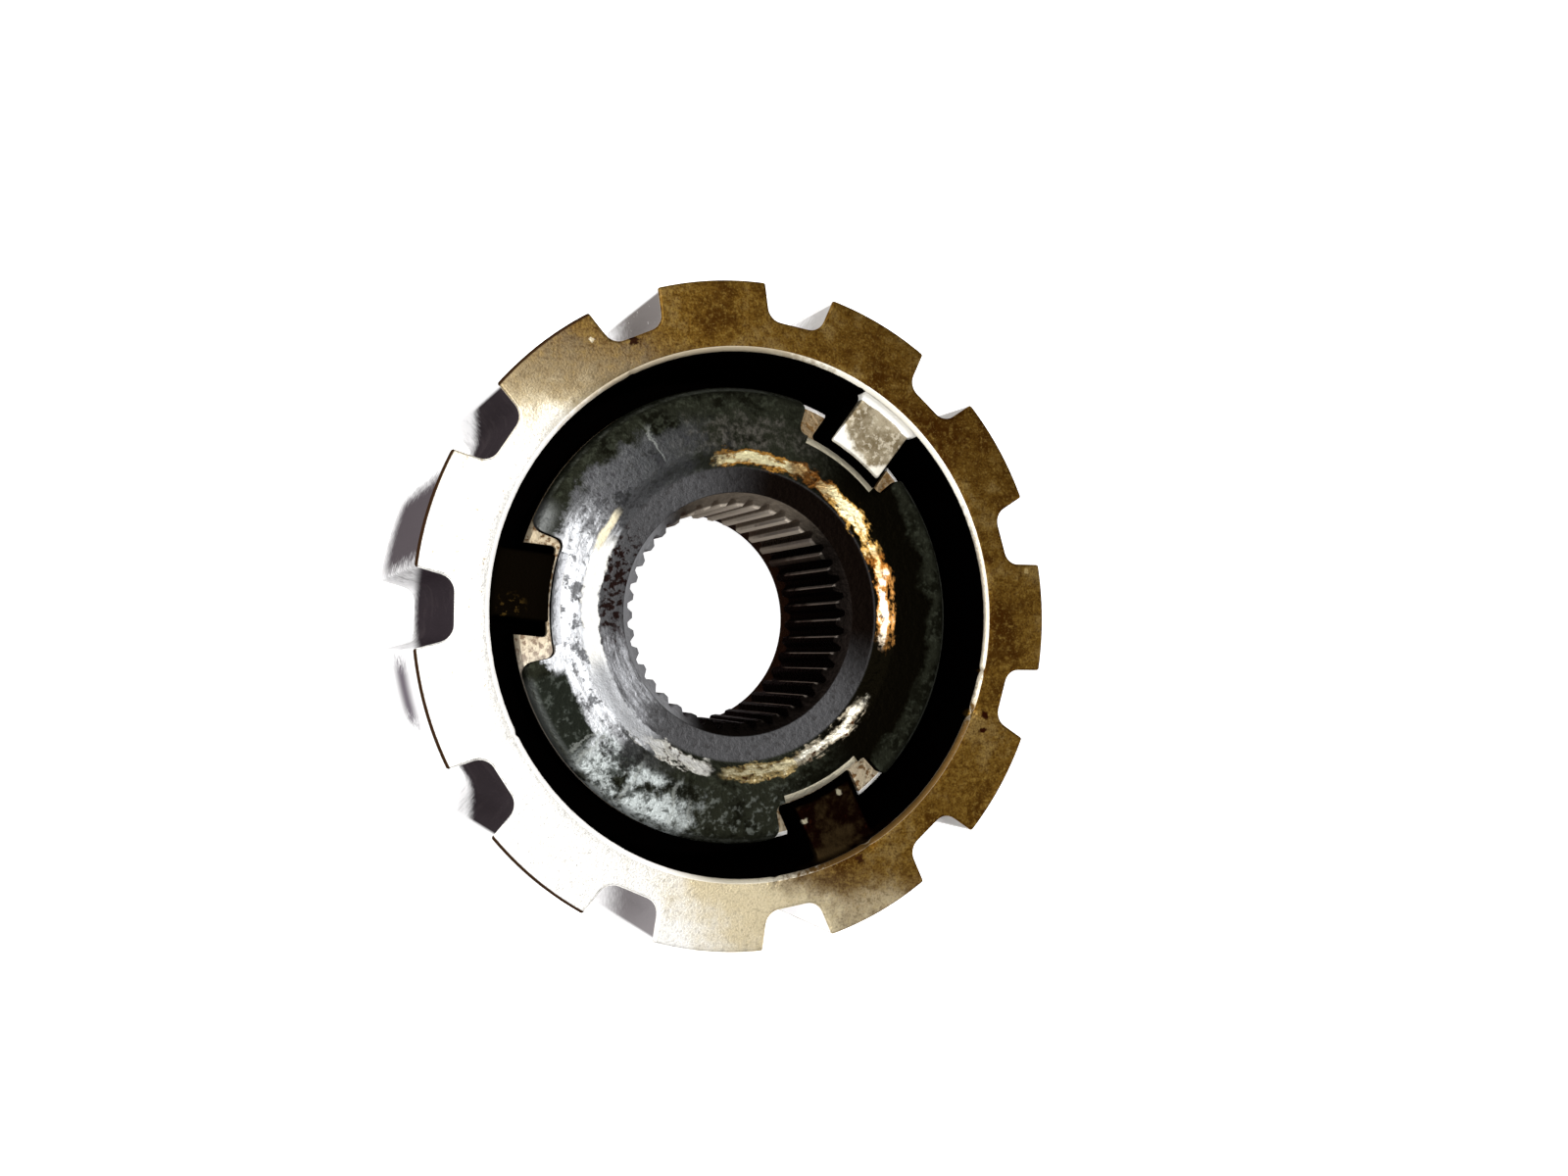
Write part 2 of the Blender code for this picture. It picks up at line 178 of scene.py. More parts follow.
def dinged(point):
    """A point of the bore's front edge, pushed outward and down where a ding has dented it."""
    x, y, z = point
    if z < RING_WIDTH - DING_HEIGHT:
        return point
    radius = math.hypot(x, y)
    bearing = math.degrees(math.atan2(y, x))
    push = EDGE_UNEVEN * noise.noise(Vector((x, y, 0.0)) * EDGE_WAVES)
    for centre, half_width, depth in BORE_DINGS:
        away = (bearing - centre + 180) % 360 - 180
        push += depth * MM * math.exp(-(away / half_width) ** 2)
    fall = max(0.0, 1 - abs(radius - BORE_RADIUS - DING_OUTSET) / DING_REACH)
    share = 1 + push * fall / radius
    return (x * share, y * share, z - abs(push) * fall * 0.9)


def skin(bm, rows):
    """Faces between each closed row of vertices and the next."""
    for row, onward in zip(rows, rows[1:]):
        for i in range(len(row)):
            bm.faces.new((row[i - 1], row[i], onward[i], onward[i - 1]))


def new_piece(name, bm):
    bmesh.ops.recalc_face_normals(bm, faces=bm.faces)
    mesh = bpy.data.meshes.new(name)
    bm.to_mesh(mesh)
    bm.free()
    piece = bpy.data.objects.new(name, mesh)
    bpy.context.scene.collection.objects.link(piece)
    return piece


def ring_body():
    """The ring without its dogs, closed both round the axis and round its section."""
    bm = bmesh.new()
    rows = [[bm.verts.new(dinged(point)) for point in row] for row in ring_rows()]
    skin(bm, rows + rows[:1])
    return new_piece("notched_ring", bm)


def cut(piece, other, operation="DIFFERENCE"):
    """Joins or cuts one mesh with another, and removes the other."""
    modifier = piece.modifiers.new(operation, "BOOLEAN")
    modifier.object = other
    modifier.operation = operation
    modifier.solver = "EXACT"
    keep_modifiers(piece)
    bpy.data.objects.remove(other, do_unlink=True)


def keep_modifiers(piece):
    shape = piece.evaluated_get(bpy.context.evaluated_depsgraph_get())
    mesh = bpy.data.meshes.new_from_object(shape)
    piece.modifiers.clear()
    piece.data = mesh


def smooth_faces(piece, angle):
    piece.data.shade_smooth()
    piece.data.set_sharp_from_angle(angle=math.radians(angle))


ring = ring_body()

# The three dogs. They are forged in one with the ring's web, with square sides, a top that falls gently
# towards the axis, and fillets where they run into the wall.
DOG_COUNT = 3
DOG_BEARINGS = (52.75, 172.75, 292.75)
DOG_REACH = 10.6 * MM
DOG_WIDTH = 11.7 * MM
DOG_DROP = 2.2 * MM
DOG_SLOPE = math.radians(7.0)
DOG_TOP_FILLET = 1.0 * MM
DOG_ROOT_FILLET = 1.5 * MM
DOG_EDGE = 0.5 * MM
DOG_SINK = 1.5 * MM


def climb(distance, fillet):
    """How far a concave fillet has climbed, this far from the wall."""
    reach = min(max(fillet - distance, 0.0), fillet)
    return fillet - math.sqrt(fillet ** 2 - reach ** 2)


def dog_section(radius, edge_drop):
    """A dog's outline at this radius, drawn in by edge_drop where its end is rounded."""
    distance = BORE_RADIUS - radius
    half = DOG_WIDTH / 2 + climb(distance, DOG_ROOT_FILLET) - edge_drop * 0.6
    top = RING_WIDTH - DOG_DROP - distance * math.tan(DOG_SLOPE) + climb(distance, DOG_TOP_FILLET) - edge_drop
    base = WEB_FRONT - DOG_SINK
    inner = half - DOG_EDGE
    shares = (0.3, 0.6, 0.85)
    across = [(half * (2 * step / 8 - 1), base) for step in range(9)]
    across += [(half, base + (top - base) * share) for share in shares]
    across += arc((inner, top - DOG_EDGE), DOG_EDGE, 0.0, QUARTER, 3)
    across += [(inner * (1 - 2 * step / 8), top) for step in range(1, 8)]
    across += arc((-inner, top - DOG_EDGE), DOG_EDGE, QUARTER, math.pi, 3)
    across += [(-half, base + (top - base) * share) for share in reversed(shares)]
    return [(math.sqrt(radius ** 2 - y ** 2), y, z) for y, z in across]


def lofts(name, sections, count, phase, in_triangles=False):
    """The closed loft of sections of (x, y, z) points, repeated about the axis."""
    bm = bmesh.new()
    for index in range(count):
        turn = Matrix.Rotation(phase + math.tau * index / count, 3, "Z")
        rows = [[bm.verts.new(turn @ Vector(point)) for point in section] for section in sections]
        skin(bm, rows)
        bm.faces.new(reversed(rows[0]))
        bm.faces.new(rows[-1])
    if in_triangles:
        bmesh.ops.triangulate(bm, faces=bm.faces)
    return new_piece(name, bm)


def dogs():
    """The dogs as one mesh, each from its rounded end into the ring's wall."""
    end = BORE_RADIUS - DOG_REACH
    sections = []
    for step in range(4):
        angle = QUARTER * step / 3
        sections.append(dog_section(end + DOG_EDGE * (1 - math.cos(angle)), DOG_EDGE * (1 - math.sin(angle))))
    for share in (0.3, 0.55, 0.8):
        sections.append(dog_section(end + (DOG_REACH - DOG_ROOT_FILLET) * share, 0.0))
    for step in range(9):
        sections.append(dog_section(BORE_RADIUS - DOG_ROOT_FILLET * (1 - math.sin(QUARTER * step / 9)), 0.0))
    sections.append(dog_section(BORE_RADIUS + DOG_SINK, 0.0))
    return lofts("dogs", sections, DOG_COUNT, math.radians(DOG_BEARINGS[0]), True)


cut(ring, dogs(), "UNION")
smooth_faces(ring, 32.0)

# The finish of the ring and its dogs. Steel under a brown-gold film of old oil, with painted glare towards
# the left, a bore painted black for old oil and the deep recess's shade, bright edges, painted shade in the
# notches, and dog tops painted lit or shaded. Masks are in millimetres from the axis or the back face, and in
# degrees round it.
WALL_FOOT = (51.5, 52.2)
WALL_BACK, WALL_FRONT = 0.2, 49.6
LAND_FOOT = (59.4, 59.7)
RIM_EDGE = (59.35, 59.6)
FACE_START = (49.15, 49.35)
BORE_START = (47.6, 47.3)
BORE_INSIDE = (47.28, 47.18)
REAR_START = (17.6, 16.4)
DOG_TOP_START = (45.9, 46.05)
OIL_FILM = (0.135, 0.07, 0.011)
OIL_CLOUDS = (0.045, 0.016, 0.002)
THIN_OIL = (0.23, 0.15, 0.05)
RED_OIL = (0.034, 0.009, 0.001)
# Painted glare on the front face at the left, from a beige fringe to blown white
FACE_GLARE_BEIGE = (0.27, 0.21, 0.12)
FACE_GLARE_PALE = (0.68, 0.58, 0.38)
FACE_GLARE_WHITE = (0.97, 0.95, 0.9)
WALL_GLARE_WHITE = (0.97, 0.96, 0.96)
BLACK_OIL_AND_SHADE = (0.0015, 0.001, 0.001)
DULL_LAND = (0.42, 0.37, 0.29)
OILED_LAND = (0.24, 0.165, 0.075)
REAR_BROWN = (0.06, 0.04, 0.02)
BRIGHT_EDGE = (0.85, 0.78, 0.62)
# Painted shade in the notches at the left
NOTCH_SHADE = (0.014, 0.007, 0.01)
DEEP_NOTCH_SHADE = (0.012, 0.005, 0.009)
EDGE_TINT = (0.3, 0.27, 0.27)
SPECK_SCALE = 900.0
GRAIN_SCALE = 2600.0
OIL_CONTRAST = 3.0
CHAMFER_RADII = (47.1, 48.02)
TOP_LEFT, UPPER_LEFT, LEFT, LOWER_LEFT, BOTTOM_LEFT = [
    math.degrees(NOTCH_PHASE) + 360 / NOTCH_COUNT * notch for notch in range(1, 6)]
# Bearing, radius, size and colour of each single mark on the front face, in degrees and millimetres
FACE_MARKS = [(121.9, 55.7, 0.45, (0.55, 0.48, 0.34)), (114.6, 52.5, 1.0, (0.02, 0.007, 0.003)),
              (293.8, 49.2, 0.9, (0.03, 0.01, 0.003)), (337.0, 50.8, 0.9, (0.02, 0.004, 0.001)),
              (333.8, 51.4, 0.7, (0.02, 0.004, 0.001)), (8.0, 57.0, 0.6, (0.35, 0.25, 0.1))]
# Bearing, half width, softness, unevenness, strength, colour, roughness and metal of the chamfer's stretches
# The first stretch is painted white glare at the left, and the fourth a painted highlight at the upper right
CHAMFER_STRETCHES = [(192.0, 62.0, 10.0, 0.0, 1.0, (1.0, 0.97, 0.93), 0.4, 0.0),
                     (104.0, 28.0, 12.0, 16.0, 0.8, (0.55, 0.45, 0.3), None, None),
                     (4.0, 20.0, 8.0, 12.0, 0.7, (0.42, 0.35, 0.26), None, None),
                     (48.0, 26.0, 8.0, 12.0, 0.9, (1.0, 0.95, 0.83), 0.35, 0.3),
                     (309.0, 32.0, 8.0, 12.0, 1.0, (0.11, 0.06, 0.018), 0.5, None)]
# The three dogs' tops, painted lit or shaded, and the bearing, radius and size of the pale spots on the last
LIT_DOG_TOP = (0.34, 0.29, 0.2)
SHADED_DOG_TOP = (0.003, 0.002, 0.001)
SHADED_BROWN_DOG_TOP = (0.003, 0.0008, 0.0004)
DOG_SPOTS = [(297.6, 37.4), (285.2, 39.4)]
DOG_SPOT_SIZE = 0.53


class Nodes:
    """A shader node tree, written with one call for each node."""

    def __init__(self, tree):
        self.tree = tree

    def feed(self, socket, value):
        if isinstance(value, bpy.types.NodeSocket):
            self.tree.links.new(value, socket)
        elif socket.type == "RGBA":
            socket.default_value = (*value, 1.0)
        else:
            socket.default_value = value

    def add(self, kind, *values, **settings):
        """A new node with these settings, its sockets fed in their order."""
        node = self.tree.nodes.new("ShaderNode" + kind)
        for name, setting in settings.items():
            setattr(node, name, setting)
        for socket, value in zip([s for s in node.inputs if s.enabled], values):
            self.feed(socket, value)
        return node

    def put(self, kind, *values, **settings):
        """The same, for its first output."""
        node = self.add(kind, *values, **settings)
        return next(socket for socket in node.outputs if socket.enabled)

    def math(self, operation, *values):
        return self.put("Math", *values, operation=operation)

    def vector(self, operation, *values):
        return self.put("VectorMath", *values, operation=operation)

    def here(self):
        return self.add("TexCoord").outputs["Object"]


class Group(Nodes):
    """A node group that takes and gives plain values."""

    def __init__(self, name, given, results):
        super().__init__(bpy.data.node_groups.new(name, "ShaderNodeTree"))
        for socket in given:
            self.tree.interface.new_socket(socket, in_out="INPUT", socket_type="NodeSocketFloat")
        for socket in results:
            self.tree.interface.new_socket(socket, in_out="OUTPUT", socket_type="NodeSocketFloat")
        self.given = self.tree.nodes.new("NodeGroupInput").outputs
        self.results = self.tree.nodes.new("NodeGroupOutput").inputs


def place_group():
    """Where a point is on the gear: its radius and height in millimetres, and its bearing in degrees."""
    group = Group("place on the gear", (), ("Radius", "Bearing", "Height"))
    point = group.vector("SCALE", group.here(), 1 / MM)
    parts = group.add("SeparateXYZ", point).outputs
    turn = group.math("ARCTAN2", parts["Y"], parts["X"])
    flat = group.vector("MULTIPLY", point, (1.0, 1.0, 0.0))
    group.feed(group.results["Radius"], group.vector("LENGTH", flat))
    group.feed(group.results["Bearing"], group.math("DEGREES", turn))
    group.feed(group.results["Height"], parts["Z"])
    return group.tree


def sector_group():
    """A mask of the bearings near a centre, fading over a soft edge."""
    group = Group("sector", ("Bearing", "Centre", "Half Width", "Softness"), ("Mask",))
    given = group.given
    away = group.math("SUBTRACT", given["Bearing"], given["Centre"])
    size = group.math("ABSOLUTE", group.math("WRAP", away, 180.0, -180.0))
    low = group.math("SUBTRACT", given["Half Width"], given["Softness"])
    high = group.math("ADD", given["Half Width"], given["Softness"])
    mask = group.put("MapRange", size, low, high, 1.0, 0.0, interpolation_type="SMOOTHSTEP")
    group.feed(group.results["Mask"], mask)
    return group.tree


def mottle_group():
    """Old oil and grime: coarse clouds, fine specks and a very fine grain, as masks from 0 to 1."""
    group = Group("oil mottle", ("Cloud Scale", "Speck Scale", "Contrast"), ("Clouds", "Specks", "Grain"))
    kinds = (("Clouds", "Cloud Scale", 8.0, 0.68), ("Specks", "Speck Scale", 4.0, 0.6))
    for name, scale, detail, roughness in kinds:
        clouds = group.put("TexNoise", group.here(), group.given[scale], detail, roughness)
        centred = group.math("SUBTRACT", clouds, 0.5)
        contrast = group.given["Contrast"]
        stretched = group.put("Math", centred, contrast, 0.5, operation="MULTIPLY_ADD", use_clamp=True)
        group.feed(group.results[name], stretched)
    group.feed(group.results["Grain"], group.put("TexNoise", group.here(), GRAIN_SCALE, 3.0))
    return group.tree


def streak_group():
    """Streaks drawn out along the turning, as a mask from 0 to 1."""
    group = Group("turning streaks", ("Radius", "Length", "Fineness"), ("Streaks",))
    heading = group.vector("NORMALIZE", group.vector("MULTIPLY", group.here(), (1.0, 1.0, 0.0)))
    drawn = group.add("SeparateXYZ", group.vector("SCALE", heading, group.given["Length"])).outputs
    depth = group.math("MULTIPLY", group.given["Radius"], group.given["Fineness"])
    clouds = group.put("TexNoise", group.put("CombineXYZ", drawn["X"], drawn["Y"], depth), 1.0, 6.0, 0.62)
    group.feed(group.results["Streaks"], group.put("MapRange", clouds, 0.28, 0.72))
    return group.tree


PLACE = place_group()
SECTOR = sector_group()
MOTTLE = mottle_group()
STREAKS = streak_group()


class Finish(Nodes):
    """One material, painted in layers: each covers what is under it where its mask says."""

    def __init__(self, name, colour, roughness, metallic, cloud_scale):
        self.material = bpy.data.materials.new(name)
        self.material.use_nodes = True
        super().__init__(self.material.node_tree)
        self.colour = colour
        self.roughness = roughness
        self.metallic = metallic
        place = self.add("Group", node_tree=PLACE).outputs
        self.radius = place["Radius"]
        self.bearing = place["Bearing"]
        self.height = place["Height"]
        mottle = self.add("Group", cloud_scale, SPECK_SCALE, OIL_CONTRAST, node_tree=MOTTLE).outputs
        self.clouds = mottle["Clouds"]
        self.specks = mottle["Specks"]
        self.grain = mottle["Grain"]

    def meet(self, *masks):
        """Where all of these masks meet. A number among them weakens the rest."""
        total = masks[0]
        for mask in masks[1:]:
            total = self.math("MULTIPLY", total, mask)
        return total

    def rises(self, value, low, high):
        """0 below low, 1 above high. With low above high it falls instead."""
        start, end = min(low, high), max(low, high)
        falls = float(low > high)
        return self.put("MapRange", value, start, end, falls, 1.0 - falls, interpolation_type="SMOOTHSTEP")

    def within(self, value, low, high, soft):
        above = self.rises(value, low - soft, low + soft)
        return self.meet(above, self.rises(value, high + soft, high - soft))

    def sector(self, centre, half_width, softness, bearing=None):
        return self.put("Group", bearing or self.bearing, centre, half_width, softness, node_tree=SECTOR)

    def streaks(self, length, fineness):
        return self.put("Group", self.radius, length, fineness, node_tree=STREAKS)

    def ragged(self, value, reach, mask=None):
        """The value shifted about by the specks or a mask, so that an edge drawn from it is uneven."""
        shift = self.math("SUBTRACT", mask or self.specks, 0.5)
        return self.math("MULTIPLY_ADD", shift, reach, value)

    def ragged_bearing(self, reach):
        return self.ragged(self.bearing, reach, self.clouds)

    def local(self, bearing):
        """Millimetres outward from the axis and sideways, in a frame turned to this bearing."""
        turn = self.math("RADIANS", self.math("SUBTRACT", self.bearing, bearing))
        outward = self.math("MULTIPLY", self.radius, self.math("COSINE", turn))
        sideways = self.math("MULTIPLY", self.radius, self.math("SINE", turn))
        return outward, sideways

    def spot(self, bearing, distance, size):
        """A small uneven mark at this bearing and radius."""
        outward, sideways = self.local(bearing)
        across = self.math("POWER", self.math("SUBTRACT", outward, distance), 2.0)
        gap = self.math("SQRT", self.math("MULTIPLY_ADD", sideways, sideways, across))
        return self.rises(self.ragged(gap, size), size * 1.2, size * 0.6)

    def blend(self, mask, under, over):
        return self.put("Mix", mask, under, over, data_type="RGBA" if isinstance(over, tuple) else "FLOAT")

    def cover(self, mask, colour=None, roughness=None, metallic=None):
        if colour is not None:
            self.colour = self.blend(mask, self.colour, colour)
        if roughness is not None:
            self.roughness = self.blend(mask, self.roughness, roughness)
        if metallic is not None:
            self.metallic = self.blend(mask, self.metallic, metallic)

    def put_on(self, piece, height, depth):
        """Finishes the material, with a bump of this depth from the height, and puts it on the piece."""
        bump = self.add("Bump")
        bump.inputs["Distance"].default_value = depth
        self.feed(bump.inputs["Height"], height)
        values = {"Base Color": self.colour, "Roughness": self.roughness, "Metallic": self.metallic,
                  "Specular Tint": EDGE_TINT, "Specular IOR Level": 0.0, "Normal": bump.outputs["Normal"]}
        for name, value in values.items():
            self.feed(self.tree.nodes["Principled BSDF"].inputs[name], value)
        piece.data.materials.clear()
        piece.data.materials.append(self.material)


def paint_face(f):
    """The front face: mottled oil film, with painted glare that turns it pale towards the left."""
    f.cover(f.meet(f.rises(f.clouds, 0.45, 0.85), 0.85), OIL_CLOUDS, 0.5)
    f.cover(f.meet(f.rises(f.clouds, 0.45, 0.1), 0.7), THIN_OIL)
    # Darker red-brown cloud at the right and the upper right
    red = f.sector(42.0, 34.0, 14.0, f.ragged_bearing(30.0))
    f.cover(f.meet(red, f.rises(f.ragged(f.clouds, 0.6), 0.2, 0.9), 0.75), RED_OIL, 0.55)
    # Painted glare that grows towards the left, through beige at the top and gold at the bottom
    slanted = f.math("MULTIPLY_ADD", f.math("SUBTRACT", f.radius, 53.5), -1.4, f.ragged_bearing(12.0))
    glare_fringe = f.sector(204.0, 82.0, 16.0, slanted)
    f.cover(f.meet(glare_fringe, 0.85), FACE_GLARE_BEIGE, 0.4)
    f.cover(f.sector(211.0, 71.0, 9.0, slanted), FACE_GLARE_PALE, 0.4)
    blown = f.sector(201.0, 54.0, 10.0, slanted)
    f.cover(blown, FACE_GLARE_WHITE, 0.34, 0.75)
    f.cover(f.meet(blown, f.rises(f.specks, 0.86, 0.97), f.sector(165.0, 30.0, 20.0), 0.6), (0.42, 0.28, 0.1))
    # Fine specks in the oil film, dark and gold
    film = f.math("SUBTRACT", 1.0, f.meet(glare_fringe, 0.65))
    f.cover(f.meet(film, f.rises(f.specks, 0.5, 1.0), 0.3), (0.34, 0.22, 0.05))
    f.cover(f.meet(film, f.rises(f.specks, 0.5, 0.0), 0.6), (0.04, 0.014, 0.001))
    f.cover(f.meet(film, f.rises(f.grain, 0.54, 0.34), 0.55), (0.035, 0.013, 0.002))
    f.cover(f.meet(film, f.rises(f.grain, 0.58, 0.72), 0.35), (0.34, 0.24, 0.07))
    for bearing, distance, size, colour in FACE_MARKS:
        f.cover(f.spot(bearing, distance, size), colour)


def paint_wall(f):
    """The outer wall: painted white glare at the left, oiled at the right, with painted shade and marks in
    the notches.
    """
    wall = f.meet(f.within(f.height, WALL_BACK, WALL_FRONT, 0.12), f.rises(f.radius, *WALL_FOOT))
    # Painted white glare over the whole wall, which the later layers cover except at the left
    f.cover(wall, WALL_GLARE_WHITE, 0.5, 0.0)
    land = f.meet(wall, f.rises(f.radius, *LAND_FOOT))
    f.cover(f.meet(land, f.sector(0.0, 78.0, 24.0, f.ragged_bearing(16.0))), DULL_LAND, 0.42, 1.0)
    oiled = f.meet(land, f.sector(0.0, 56.0, 24.0, f.ragged_bearing(16.0)))
    f.cover(oiled, OILED_LAND, 0.45)
    f.cover(f.meet(oiled, f.rises(f.clouds, 0.2, 1.0), 0.7), (0.1, 0.052, 0.012), 0.5)
    f.cover(f.meet(oiled, f.rises(f.specks, 0.5, 0.0), 0.5), (0.05, 0.02, 0.004))
    hollow = f.meet(wall, f.rises(f.radius, *reversed(LAND_FOOT)))
    f.cover(f.meet(hollow, f.sector(0.0, 28.0, 3.0)), (0.2, 0.135, 0.06), 0.45, 1.0)
    # Painted shade in the three notches at the left, which ends on a slant across the floor
    notch = f.meet(wall, f.rises(f.radius, 59.5, 58.9))
    steep = f.math("MULTIPLY_ADD", f.radius, -7.8, f.ragged(f.height, 3.0))
    slack = f.math("MULTIPLY_ADD", f.radius, -3.6, f.ragged(f.height, 3.0))
    middle = f.meet(notch, f.rises(steep, -420.0, -406.0), f.sector(LEFT, 12.0, 2.0))
    f.cover(f.meet(middle, 0.98), DEEP_NOTCH_SHADE, 0.75)
    for centre in (UPPER_LEFT, LOWER_LEFT):
        slanted_shade = f.meet(notch, f.rises(slack, -194.0, -182.0), f.sector(centre, 14.0, 2.0))
        f.cover(f.meet(slanted_shade, 0.98), NOTCH_SHADE, 0.75)
    greyed = f.meet(notch, f.sector(LEFT, 42.0, 4.0), f.rises(f.clouds, 0.5, 0.95))
    f.cover(f.meet(greyed, 0.35), (0.06, 0.048, 0.05))
    # Shaded notches at the top left, the bottom left and the right
    shaded = f.meet(notch, f.rises(f.ragged(f.height, 5.0), 8.0, 32.0))
    top_left = f.meet(shaded, f.sector(TOP_LEFT, 14.0, 3.0))
    f.cover(f.meet(top_left, 0.9), (0.11, 0.09, 0.08), 0.6)
    f.cover(f.meet(shaded, f.sector(BOTTOM_LEFT, 14.0, 3.0), 0.9), (0.17, 0.15, 0.155), 0.6)
    f.cover(f.meet(top_left, f.rises(f.specks, 0.86, 0.94), f.rises(f.clouds, 0.6, 0.75)), (0.9, 0.88, 0.85))
    right = f.meet(notch, f.rises(f.ragged(f.height, 5.0), 26.0, 46.0), f.sector(15.0, 80.0, 4.0))
    f.cover(f.meet(right, 0.8), (0.3, 0.28, 0.26), 0.6)
    blot = f.meet(f.rises(f.height, 43.0, 46.0), f.rises(f.radius, 55.0, 53.8), f.sector(116.0, 1.6, 0.7))
    f.cover(f.meet(notch, blot), (0.03, 0.008, 0.003))
    # Dark patches on two of the lands
    tall = f.meet(wall, f.sector(164.5, 7.5, 2.4, f.ragged(f.bearing, 2.0)), 0.96)
    f.cover(f.meet(tall, f.rises(f.ragged(f.height, 4.0), -6.0, 16.0)), (0.045, 0.032, 0.038), 0.75)
    short = f.meet(wall, f.sector(192.5, 5.5, 2.5, f.ragged(f.bearing, 3.0)), 0.92)
    f.cover(f.meet(short, f.within(f.height, 22.0, 38.0, 8.0)), (0.07, 0.05, 0.07), 0.75)
    # Thin dark line along the rim's front edge
    line = f.meet(f.rises(f.radius, *RIM_EDGE), f.rises(f.height, 49.3, 49.5), f.sector(180.0, 68.0, 8.0))
    f.cover(line, (0.03, 0.014, 0.006), 0.6, 0.2)


def paint_bore(f):
    """The bore, web and dog sides, painted black for old oil and the deep recess's shade, brown at the rear,
    and the bright chamfer.
    """
    inside = f.rises(f.radius, *BORE_START)
    # Painted shade of the deep recess, with old oil, as near black
    f.cover(f.meet(inside, f.rises(f.height, *reversed(FACE_START))), BLACK_OIL_AND_SHADE, 0.6, 1.0)
    rear = f.meet(inside, f.rises(f.height, *REAR_START))
    f.cover(rear, REAR_BROWN, 0.5)
    f.cover(f.meet(rear, f.rises(f.clouds, 0.3, 1.0)), (0.022, 0.012, 0.005))
    chamfer = f.meet(f.within(f.radius, *CHAMFER_RADII, 0.05), f.rises(f.height, *FACE_START))
    f.cover(chamfer, BRIGHT_EDGE, 0.35, 0.8)
    for centre, half_width, softness, uneven, strength, colour, roughness, metallic in CHAMFER_STRETCHES:
        stretch = f.sector(centre, half_width, softness, f.ragged(f.bearing, uneven))
        f.cover(f.meet(chamfer, stretch, strength), colour, roughness, metallic)


def paint_dogs(f):
    """The three alike tops, painted in light and shade: one lit bright and beige, one shaded nearly black,
    one shaded dark red-brown.
    """
    level = f.rises(f.height, *DOG_TOP_START)
    inside = f.rises(f.radius, *BORE_INSIDE)
    tops = [f.meet(level, inside, f.sector(bearing, 12.0, 1.0)) for bearing in DOG_BEARINGS]
    outward, sideways = f.local(DOG_BEARINGS[0])
    bright = f.meet(tops[0], f.within(sideways, -5.9, 5.9, 0.1))
    # Painted light on the top of the first dog
    f.cover(bright, LIT_DOG_TOP, 0.5, 0.8)
    f.cover(f.meet(bright, f.rises(f.clouds, 0.35, 0.85)), (0.15, 0.115, 0.065))
    f.cover(f.meet(bright, f.rises(f.specks, 0.5, 0.9), 0.6), (0.6, 0.54, 0.42))
    # Pale facets on the first dog's top, partly rubbed wear and partly painted highlight
    rubbed_and_lit = f.math("MULTIPLY_ADD", sideways, -0.4, f.ragged(outward, 5.0, f.clouds))
    f.cover(f.meet(bright, f.rises(rubbed_and_lit, 38.6, 36.2), 0.85), (0.85, 0.82, 0.74), 0.4, 0.6)
    corner = f.math("MULTIPLY_ADD", sideways, 0.7, f.ragged(outward, 3.0, f.clouds))
    f.cover(f.meet(bright, f.rises(corner, 36.0, 34.6), 0.8), (0.85, 0.8, 0.7), 0.4, 0.6)
    # Painted bounced light on the ring's wall just above the first dog
    wall_end = f.meet(level, inside, f.within(sideways, -6.6, 6.6, 0.1), f.rises(outward, 30.0, 31.0))
    bounced_light = f.meet(wall_end, f.rises(f.ragged(f.radius, 0.7, f.clouds), 46.0, 46.3))
    f.cover(bounced_light, (0.98, 0.96, 0.9), 0.35, 0.4)
    # Painted shade on the top of the second dog
    dark = tops[1]
    f.cover(dark, SHADED_DOG_TOP, 0.6, 1.0)
    outward, sideways = f.local(DOG_BEARINGS[1])
    side = f.meet(dark, f.rises(sideways, 1.0, 4.0), f.within(outward, 41.0, 45.0, 1.0))
    f.cover(f.meet(side, f.rises(f.specks, 0.6, 0.85)), (0.06, 0.035, 0.008))
    # Painted shade on the top of the third dog, dark red-brown
    brown_shaded = tops[2]
    f.cover(brown_shaded, SHADED_BROWN_DOG_TOP, 0.6, 1.0)
    f.cover(f.meet(brown_shaded, f.rises(f.clouds, 0.45, 0.9), 0.9), (0.024, 0.015, 0.006))
    red_specks = f.meet(brown_shaded, f.rises(f.clouds, 0.5, 0.2), f.rises(f.specks, 0.6, 0.9))
    f.cover(f.meet(red_specks, 0.8), (0.02, 0.005, 0.002))
    for bearing, distance in DOG_SPOTS:
        f.cover(f.meet(brown_shaded, f.spot(bearing, distance, DOG_SPOT_SIZE), 0.8), (0.3, 0.27, 0.19))


oiled_steel = Finish("oiled ring steel", OIL_FILM, 0.42, 1.0, 110.0)
paint_face(oiled_steel)
paint_wall(oiled_steel)
paint_bore(oiled_steel)
paint_dogs(oiled_steel)
pitting = oiled_steel.math("MULTIPLY_ADD", oiled_steel.clouds, 0.6, oiled_steel.grain)
oiled_steel.put_on(ring, pitting, 0.06 * MM)
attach(ring, "root")
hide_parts("parking_ring")

